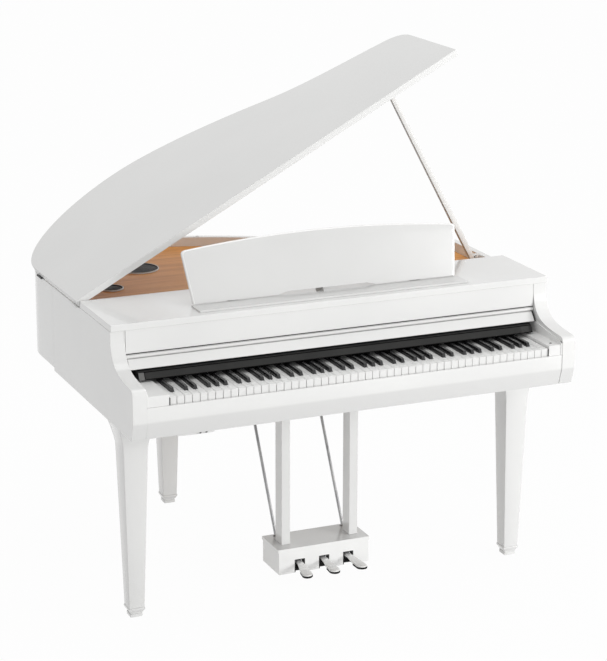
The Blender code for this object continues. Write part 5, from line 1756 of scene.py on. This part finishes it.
@dataclass
class Keyboard:
    """Eighty-eight keys in five banks and five single keys."""

    fasteners: Fasteners
    whites: int = 52
    pitch: float = 0.0236
    slit: float = 0.0015
    centre: float = 0.0115
    front: float = 0.0075
    bottom: float = 0.7240
    rear: float = 0.362
    rail: float = 0.016
    black_width: float = 0.0108
    black_front: float = 0.0500
    black_top: float = 0.7675
    black_bottom: float = 0.7420
    clearance: float = 0.0012
    plate: float = 0.0024
    overhang: float = 0.0013
    undercut: float = 0.0002
    white_rounding: float = 0.00055
    black_rounding: float = 0.0011
    black_taper: float = 0.15
    black_lift: float = 0.0025
    offsets: dict = field(default_factory=lambda: {
        "A": 0.0022, "C": -0.0022, "D": 0.0022, "F": -0.0026, "G": 0.0})
    white_runs: tuple = (
        ("keys_white_low", 0, 22), ("keys_white_high", 26, 51),
        ("key_c4", 23, 23), ("key_d4", 24, 24), ("key_e4", 25, 25))
    black_runs: tuple = (
        ("keys_black_low", 0, 22), ("keys_black_high", 25, 36), ("keys_black_top", 37, 50),
        ("key_c_sharp4", 23, 23), ("key_d_sharp4", 24, 24))

    def letter(self, index: int) -> str:
        """Note letter of a white key."""
        return "ABCDEFG"[index % 7]

    def has_black(self, index: int) -> bool:
        """Whether a black key follows a white one."""
        return index < self.whites - 1 and self.letter(index) in self.offsets

    def left(self, index: int) -> float:
        """Sideways position of a white key's left edge."""
        return self.centre + (index - self.whites / 2) * self.pitch

    def black_x(self, index: int) -> float:
        """Sideways position of the black key after a white one."""
        return self.left(index + 1) + self.offsets[self.letter(index)]

    def white_plan(self, index: int, front: float, shrink: float) -> Plan:
        """Plan of one white key.

        Args:
            index: Which white key.
            front: Depth of its front face.
            shrink: How much narrower it is than its slot, on each side.

        Returns:
            The closed outline.
        """
        left = self.left(index) + self.slit / 2 + shrink
        right = self.left(index + 1) - self.slit / 2 - shrink
        shoulder = self.black_front - self.clearance - shrink
        reach = self.black_width / 2 + self.clearance + shrink
        back = self.rear - self.rail + 0.001
        points = [(left, front), (right, front)]
        if self.has_black(index):
            inner = self.black_x(index) - reach
            points += [(right, shoulder), (inner, shoulder), (inner, back)]
        else:
            points += [(right, back)]
        if index > 0 and self.has_black(index - 1):
            inner = self.black_x(index - 1) + reach
            points += [(inner, back), (inner, shoulder), (left, shoulder)]
        else:
            points += [(left, back)]
        return points

    def build_white(self, node: str, first: int, last: int) -> None:
        """Builds white keys with a top plate that overhangs each front.

        Args:
            node: The node that they stand for.
            first: First white key.
            last: Last white key.
        """
        bm = bmesh.new()
        for index in range(first, last + 1):
            plan_slab(bm, self.white_plan(index, self.front, 0.0), M.key_top - self.plate, M.key_top)
            stem = self.white_plan(index, self.front + self.overhang, self.undercut)
            plan_slab(bm, stem, self.bottom, M.key_top - self.plate + HAIR)
        left, right = self.left(first) + self.slit / 2, self.left(last + 1) - self.slit / 2
        block(bm, (left, right), (self.rear - self.rail, self.rear), (self.bottom, M.key_top - M.gap))
        piece = finish_mesh(bm, "ivory_" + node, IVORY)
        # Painted shade on the keys' front faces.
        face_coat(piece, IVORY_FRONT_PAINTED_SHADE, lambda normal: normal.y < -0.9)
        round_edges(piece, self.white_rounding, 2)
        carry(piece, node + "_body", node)

    def black_pattern(self) -> bpy.types.Object:
        """Makes one black key about its own middle line, with its rounded top.

        Returns:
            The hidden pattern object.
        """
        lifted, tail, base = M.key_top + self.black_lift, self.rear + self.black_lift, M.key_top + 0.001
        over = self.rear - self.rail - 0.0015
        side = [(self.black_front, self.black_bottom), (over, self.black_bottom), (over, lifted),
                (tail, lifted),
                (tail, self.black_bottom), (self.rear + 0.018, self.black_bottom),
                (self.rear + 0.018, self.black_top - 0.0015), (self.black_front + 0.0105, self.black_top),
                (self.black_front + 0.0055, self.black_top - 0.0013), (self.black_front, base)]
        bm = bmesh.new()
        half = self.black_width / 2
        side_slab(bm, side, -half, half)
        for vert in bm.verts:
            over_base = (vert.co.z - base) / (self.black_top - base)
            if over_base > 0.05:
                vert.co.x = M.shift + (vert.co.x - M.shift) * (1 - self.black_taper * min(over_base, 1.0))
        item = finish_mesh(bm, "black_key_pattern", EBONY)
        round_edges(item, self.black_rounding, 3, 25)
        mesh = carried_out(item)
        mesh.transform(Matrix.Translation((-M.shift, 0, 0)))
        item.modifiers.clear()
        item.data = mesh
        item.hide_render = True
        return item

    def build_black(self, node: str, first: int, last: int, pattern: bpy.types.Object) -> None:
        """Sets out the black keys of one body.

        Args:
            node: The node that they stand for.
            first: First white key that they may follow.
            last: Last white key that they may follow.
            pattern: One black key.
        """
        points = [Vector((self.black_x(i) + M.shift, 0, 0))
                  for i in range(first, last + 1) if self.has_black(i)]
        piece = self.fasteners.copies("ebony_" + node, pattern, points, EBONY)
        carry(piece, node + "_body", node)

    def build_end_felts(self) -> None:
        """Builds the felts between the end keys and the key blocks."""
        bm = bmesh.new()
        first, last = self.left(0), self.left(self.whites)
        for edge in ((first - 0.0009, first + 0.0006), (last - 0.0005, last + 0.0009)):
            block(bm, edge, (self.front - 0.0004, self.rear - 0.040), (0.7330, M.key_top - 0.0006))
        block(bm, (first - 0.0009, first + 0.0014), (0.0024, self.front - 0.0008),
              (0.7330, M.key_top - 0.0006))
        carry(finish_mesh(bm, "key_end_felts", FELT, weld=False), Body.CASE)

    def build(self) -> None:
        """Builds every key."""
        for node, first, last in self.white_runs:
            self.build_white(node, first, last)
        self.build_end_felts()
        pattern = self.black_pattern()
        for node, first, last in self.black_runs:
            self.build_black(node, first, last, pattern)
        bpy.data.objects.remove(pattern, do_unlink=True)
        paint(GREY_LENS, "power_button")


@dataclass
class Legs:
    """Three tapered legs on their stepped feet."""

    places: dict = field(default_factory=lambda: {
        "front_left": (-0.635, 0.251, M.case_bottom), "front_right": (0.635, 0.251, M.case_bottom),
        "rear": (-0.2115, 1.124, M.tail_bottom)})
    half: float = 0.0232
    slope: float = 0.02825
    flare_from: float = 0.535
    flare_half: float = 0.0655
    power: float = 1.5
    foot_height: float = 0.030
    foot_half: float = 0.0190
    ledge: float = 0.0258
    corner: float = 0.05
    foot_corner: float = 0.0014

    def build_foot(self, name: str, x: float, d: float) -> None:
        """Builds one foot with its groove and ledge.

        Args:
            name: Which leg it is under.
            x: Sideways position.
            d: Depth behind the front.
        """
        block_half, groove_half = self.foot_half, self.foot_half - 0.0025
        levels = [(0.0, block_half - 0.0010), (0.0010, block_half), (0.0095, block_half),
                  (0.0102, groove_half), (0.0130, groove_half), (0.0136, block_half + 0.0006),
                  (0.0180, block_half + 0.0026), (0.0225, block_half + 0.0054),
                  (0.0252, self.ledge - 0.0002), (0.0262, self.ledge), (0.0292, self.ledge),
                  (self.foot_height, self.ledge - 0.0007)]
        bm = bmesh.new()
        add_loft(bm, [soft_ring(M.at(x, d, z), RIGHT, BACK, half, half, self.foot_corner)
                      for z, half in levels])
        carry(finish_mesh(bm, "stand_" + name, WHITE, 32), Body.CASE, "foot_" + name)

    def build(self) -> None:
        """Builds the legs and their feet."""
        tool = TaperedLeg()
        for name, (x, d, top) in self.places.items():
            # Painted shade: the front legs take the darker copy of the white lacquer.
            finish = WHITE if name == "rear" else WHITE_LOW_PAINTED_SHADE
            piece = tool.run("tapered_" + name, points_mesh([]), finish, 32, Foot=self.foot_height + M.gap,
                             Top=top - M.gap, Half=self.half, Slope=self.slope, Flare_from=self.flare_from,
                             Flare_to=M.case_bottom, Flare_half=self.flare_half, Power=self.power,
                             Corner=self.corner)
            piece.data.transform(Matrix.Translation(M.at(x, d, 0)))
            carry(piece, Body.CASE, "leg_" + name)
            self.build_foot(name, x, d)


@dataclass
class PedalLyre:
    """Two posts and two rods over the box with its three pedals."""

    fasteners: Fasteners
    post_x: float = 0.115
    box_half: float = 0.1530
    box_front: float = 0.2760
    box_rear: float = 0.4070
    box_bottom: float = 0.0390
    box_top: float = 0.1215
    slot_half: float = 0.0172
    slot_top: float = 0.0820
    rod_radius: float = 0.0046
    rod_foot: float = 0.393
    rod_head: float = 0.676
    spacing: float = 0.0825
    pivot: tuple = (0.3800, 0.0700)
    tip: float = 0.1800
    pad: float = 0.0165
    fan: float = 0.0090
    thick: float = 0.0060
    neck_half: float = 0.0100
    neck_out: float = 0.004
    # Reach of the black sole that stands in as painted shadow under the pad.
    shadow_sole_reach: float = 0.030
    stud_back: float = 0.0130

    def build_rods(self) -> None:
        """Builds the slanting rods, each with a collar at both ends."""
        for sign, name in ((-1, "left"), (1, "right")):
            foot = M.at(sign * self.post_x, self.rod_foot, self.box_top + M.gap)
            head = M.at(sign * self.post_x, self.rod_head, M.tail_bottom - M.gap)
            along = (head - foot).normalized()
            bm = bmesh.new()
            stretch = 1 / along.z
            rings = []
            for z in (foot.z, head.z):
                centre = foot + along * ((z - foot.z) / along.z)
                turns = [2 * math.pi * i / 28 for i in range(28)]
                spokes = [math.cos(t) * RIGHT + stretch * math.sin(t) * BACK for t in turns]
                rings.append([centre + self.rod_radius * spoke for spoke in spokes])
            add_loft(bm, rings)
            carry(finish_mesh(bm, "steel_rod_" + name, ROD_STEEL, 40), Body.CASE, "lyre_rod_" + name)
            bm = bmesh.new()
            for end, way in ((foot, 1), (head, -1)):
                centre = end + Vector((0, 0, 0.0002 * way))
                profile = ((0.0088, 0.0), (0.0088, 0.0016), (0.0074, 0.0026), (0.0056, 0.0028))
                rises = [(r, centre.z + z * way) for r, z in profile]
                turned(bm, Vector((centre.x, centre.y, 0)), rises, 28)
            carry(finish_mesh(bm, "rod_collars_" + name, ROD_STEEL, 40), Body.CASE)

    def lean(self, index: int, d: float) -> float:
        """How far a pedal has fanned out sideways at a depth.

        Args:
            index: Its place from the middle, -1, 0 or 1.
            d: Depth behind the front.

        Returns:
            The sideways distance from its straight line.
        """
        reach = self.box_front - (self.tip + self.pad)
        return index * self.fan * max(0.0, self.box_front - d) / reach

    def build_pedal(self, name: str, index: int) -> None:
        """Builds one pedal: flat neck, widening shank, rounded pad, a black sole as painted shadow, and
        stud.

        Args:
            name: Which pedal it is.
            index: Its place from the middle, -1, 0 or 1.
        """
        x, pad_d, z0 = index * self.spacing, self.tip + self.pad, self.pivot[1]
        neck = self.box_front + self.neck_out
        stations = [(self.pivot[0], self.neck_half, z0, 1.0), (neck, self.neck_half, z0, 1.0)]
        for i in range(1, 9):
            part = i / 8
            ease = part * part * (3 - 2 * part)
            d = neck + (pad_d + 0.016 - self.box_front - self.neck_out) * part
            stations.append((d, self.neck_half + (self.pad - 0.0102) * ease, z0 - 0.0065 * ease, 1.0))
        stations.append((pad_d + 0.006, self.pad - HAIR, z0 - 0.0072, 1.0))
        for i in range(13):
            turn = math.pi / 2 * i / 13
            d = pad_d - self.pad * math.sin(turn)
            size = 1.0 if i < 12 else 0.8
            stations.append((d, self.pad * math.cos(turn), z0 - 0.0075, size))
        rings = []
        for d, half, z, size in stations:
            middle = M.at(x + self.lean(index, d), d, z)
            rings.append(soft_ring(middle, RIGHT, UP, half, self.thick / 2 * size, 0.0022))
        bm = bmesh.new()
        add_loft(bm, rings)
        pivot = M.at(x, *self.pivot)
        rod(bm, pivot - RIGHT * self.neck_half, pivot + RIGHT * self.neck_half, 0.0065, 28)
        carry(finish_mesh(bm, "lever_" + name, PEDAL_METAL, 38), "pedal_" + name + "_body", "pedal_" + name)
        # Painted shadow: a black sole under the pad's lower edge.
        bm = bmesh.new()
        rings = []
        for d, half, z, size in [entry for entry in stations if entry[0] < pad_d + self.shadow_sole_reach]:
            middle = M.at(x + self.lean(index, d), d - 0.0010, z - 0.0037)
            rings.append(soft_ring(middle, RIGHT, UP, half + 0.0007, 0.0030 * size, 0.0008, 1))
        add_loft(bm, rings)
        carry(finish_mesh(bm, "pedal_sole_" + name, BLACK, 38), "pedal_" + name + "_body")
        bm = bmesh.new()
        d = self.box_front - self.stud_back
        foot = M.at(x + self.lean(index, d), d, z0 - 0.0008 + self.thick / 2)
        turned(bm, foot, [(0.0052, -0.0006), (0.0052, 0.0009), (0.0042, 0.0020), (0.0022, 0.0026)], 24)
        carry(finish_mesh(bm, "pedal_stud_" + name, PEDAL_METAL, 40), "pedal_" + name + "_body")

    def build_box(self) -> None:
        """Builds the box with painted light on its faces, black felt round its slots as painted shade, and
        the posts.
        """
        # Painted light: the box's front and sides take the lighter copy of the lacquer, its top the darker
        # one.
        box = softened("pedal_box", "lyre_box", WHITE_PAINTED_HIGHLIGHT, Body.CASE, 0.0009)
        face_coat(box, WHITE_DEEP_PAINTED_SHADE, lambda normal: normal.z > 0.9)
        for name in ("left", "right"):
            # Painted shade: the posts take the darker copy of the white lacquer.
            squared("lyre_post_" + name, "lyre_upright_" + name, WHITE_LOW_PAINTED_SHADE, Body.CASE, 0.0016)
        # Painted shade: black felt lines each slot so its inside reads dark.
        bm = bmesh.new()
        wall, neck = 0.0026, 0.0116
        for index in (-1, 0, 1):
            x, reach = index * self.spacing, self.slot_half - HAIR
            span = (self.box_front + 0.0006, self.box_front + 0.0130)
            rear = (span[1] - 0.002, span[1])
            block(bm, (x - reach, x + reach), span, (self.slot_top - wall, self.slot_top - 0.0002))
            for sign in (-1, 1):
                sides = sorted((x + sign * reach, x + sign * (reach - wall)))
                block(bm, sides, span, (self.box_bottom + 0.001, self.slot_top - wall))
                back = sorted((x + sign * neck, x + sign * (reach - wall)))
                block(bm, back, rear, (self.box_bottom + 0.001, self.slot_top - wall))
            block(bm, (x - neck, x + neck), rear,
                  (self.pivot[1] + 0.0042, self.slot_top - wall))
            block(bm, (x - reach, x + reach), (span[1], 0.3600),
                  (self.box_bottom + 0.0010, self.box_bottom + 0.0024))
            block(bm, (x - reach, x + reach), (0.3600, 0.3620),
                  (self.box_bottom + 0.0010, self.pivot[1] - 0.0062))
        carry(finish_mesh(bm, "slot_felts", FELT, weld=False), Body.CASE)
        corners = [(sx * (self.box_half - 0.006), d) for sx in (-1, 1)
                   for d in (self.box_front + 0.006, self.box_rear - 0.006)]
        self.fasteners.screws("box_screws", [M.at(x, d, self.box_bottom - HAIR) for x, d in corners],
                              HEAD_DOWN, Body.CASE)

    def build(self) -> None:
        """Builds the lyre."""
        self.build_box()
        self.build_rods()
        for index, name in enumerate(("left", "middle", "right")):
            self.build_pedal(name, index - 1)


@dataclass
class Electronics:
    """Sockets under the keybed, and the boards inside the case."""

    fasteners: Fasteners
    front: float = 0.060
    floor: float = 0.6155
    sockets: tuple = (-0.4913, -0.4723)
    socket_rise: float = 0.0052

    def build(self) -> None:
        """Dresses the socket box and the inner boards."""
        softened("jack_box", "socket_box", SATIN, Body.CASE, 0.0005, 2)
        bm = bmesh.new()
        for x in self.sockets:
            centre = M.at(x, self.front - 0.0040, self.floor + self.socket_rise)
            rod(bm, centre + BACK * 0.0005, centre - BACK * 0.0012, 0.0042, 24, 0.0004)
            rod(bm, centre - BACK * 0.0010, centre - BACK * 0.00125, 0.0030, 24, 0.0001)
        carry(finish_mesh(bm, "socket_rings", ROD_STEEL, 40), Body.CASE)
        bm = bmesh.new()
        for x in self.sockets:
            centre = M.at(x, self.front - 0.0053, self.floor + self.socket_rise)
            rod(bm, centre, centre - BACK * HAIR, 0.0022, 20, 0.00004)
        carry(finish_mesh(bm, "socket_holes", BLACK, 40), Body.CASE)
        paint(GREEN_BOARD, "main_board")
        paint(IRON, "power_supply")
        points = [M.at(x, d, self.floor - HAIR) for x in (-0.548, -0.457) for d in (0.072, 0.138)]
        self.fasteners.screws("socket_screws", points, HEAD_DOWN, Body.CASE)


@dataclass
class Studio:
    """Pale floor, soft lights, and the camera at the picture's angle."""

    place: tuple = (-2.63334, -6.28535, 2.70172)
    turn: tuple = (1.31491, -0.0018, -0.40717)
    focal: float = 2226.16
    rise: float = -60.0
    tall: float = 661.0
    sensor: float = 36.0
    sky: float = 0.63
    paper: float = 1.0
    paper_share: float = 0.97
    floor_size: float = 30.0
    floor_grey: tuple = (0.70, 0.70, 0.70)
    lamps: tuple = (
        ("front_softbox", (4.2, -4.3, 1.6), (0.2, -0.4, 0.8), 2.0, 160.0),
        ("fill_softbox", (-1.6, -7.3, 1.4), (0.0, -0.4, 0.9), 2.6, 76.0),
        ("overhead_softbox", (0.6, 0.4, 4.6), (0.0, 0.0, 0.8), 3.0, 31.0))

    def seen(self, wiring: Wiring) -> bpy.types.NodeSocket:
        """Tells the rays that show the backdrop from those that light the piano.

        Args:
            wiring: The tree to add to.

        Returns:
            A socket that is one for camera, glossy and transmission rays.
        """
        rays = wiring.node("ShaderNodeLightPath").outputs
        either = wiring.maths("MAXIMUM", rays["Is Camera Ray"], rays["Is Glossy Ray"])
        return wiring.maths("MAXIMUM", either, rays["Is Transmission Ray"])

    def build_world(self) -> None:
        """Lights the scene evenly and shows white paper behind it."""
        world = bpy.data.worlds.new("studio")
        bpy.context.scene.world = world
        world.use_nodes = True
        world.node_tree.nodes.clear()
        wiring = Wiring(world.node_tree)
        light = wiring.node("ShaderNodeBackground", {"Color": WHITE_LIGHT, "Strength": self.sky})
        paper = wiring.node("ShaderNodeBackground", {"Color": WHITE_LIGHT, "Strength": self.paper})
        mix = wiring.node("ShaderNodeMixShader",
                          {0: self.seen(wiring), 1: light.outputs[0], 2: paper.outputs[0]})
        wiring.node("ShaderNodeOutputWorld", {0: mix.outputs[0]})

    def build_floor(self) -> None:
        """Lays a pale floor that keeps a faint shadow of the piano."""
        bm = bmesh.new()
        bmesh.ops.create_grid(bm, x_segments=8, y_segments=8, size=self.floor_size)
        mesh = bpy.data.meshes.new("studio_floor")
        bm.to_mesh(mesh)
        bm.free()
        surface = Tree("studio_paper")
        surface.set(Base_Color=(*self.floor_grey, 1.0), Roughness=0.9, Specular_IOR_Level=0.1)
        glow = surface.node("ShaderNodeEmission", {"Color": WHITE_LIGHT, "Strength": self.paper})
        share = surface.maths("MULTIPLY", self.seen(surface), self.paper_share)
        mix = surface.node("ShaderNodeMixShader", {
            0: share, 1: surface.shader.outputs[0], 2: glow.outputs[0]})
        surface.tree.links.new(mix.outputs[0], surface.tree.nodes["Material Output"].inputs["Surface"])
        mesh.materials.append(surface.material)
        floor = placed("studio_floor", mesh)
        floor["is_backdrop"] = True

    def build_lamp(self, name: str, at: tuple, aim: tuple, size: float, power: float) -> None:
        """Hangs one soft square lamp.

        Args:
            name: Name of the lamp.
            at: Where it hangs.
            aim: Point that it faces.
            size: Length of its side.
            power: Its power in watts.
        """
        data = bpy.data.lights.new(name, "AREA")
        data.shape = "SQUARE"
        data.size = size
        data.energy = power
        lamp = placed(name, data)
        lamp.location = at
        lamp.rotation_euler = (Vector(at) - Vector(aim)).to_track_quat("Z", "Y").to_euler()

    def build_camera(self) -> None:
        """Sets the camera that was fitted to the picture."""
        data = bpy.data.cameras.new("picture")
        data.sensor_fit = "VERTICAL"
        data.sensor_height = self.sensor
        data.lens = self.focal / self.tall * self.sensor
        data.shift_y = self.rise / self.tall
        data.clip_end = 100.0
        camera = placed("picture", data)
        camera.location = self.place
        camera.rotation_euler = self.turn
        bpy.context.scene.camera = camera

    def build(self) -> None:
        """Builds the studio."""
        bpy.context.scene.view_settings.view_transform = "Standard"
        self.build_world()
        self.build_floor()
        for lamp in self.lamps:
            self.build_lamp(*lamp)
        self.build_camera()


def corners(box: Sequence[Vector]) -> list[list[float]]:
    """Two corners as plain lists of numbers."""
    return [[round(float(value), 6) for value in corner] for corner in box]


def main() -> None:
    """Builds the studio and every sub-assembly in order."""
    logging.basicConfig(level=logging.INFO, format="%(name)s: %(message)s")
    Studio().build()
    fasteners = Fasteners()
    tail = TailPlan()
    CaseWork(tail, fasteners).build()
    SpeakerDeck().build()
    lid = Lid(tail, fasteners)
    lid.build()
    Prop(lid, fasteners).build()
    MusicDesk().build()
    ControlStrip().build()
    KeyCover().build()
    Keyboard(fasteners).build()
    Legs().build()
    PedalLyre(fasteners).build()
    Electronics(fasteners).build()
    fasteners.clear()
    {"cad": corners(CAD_BOX), "visual": corners(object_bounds())}


if __name__ == "__main__":
    main()
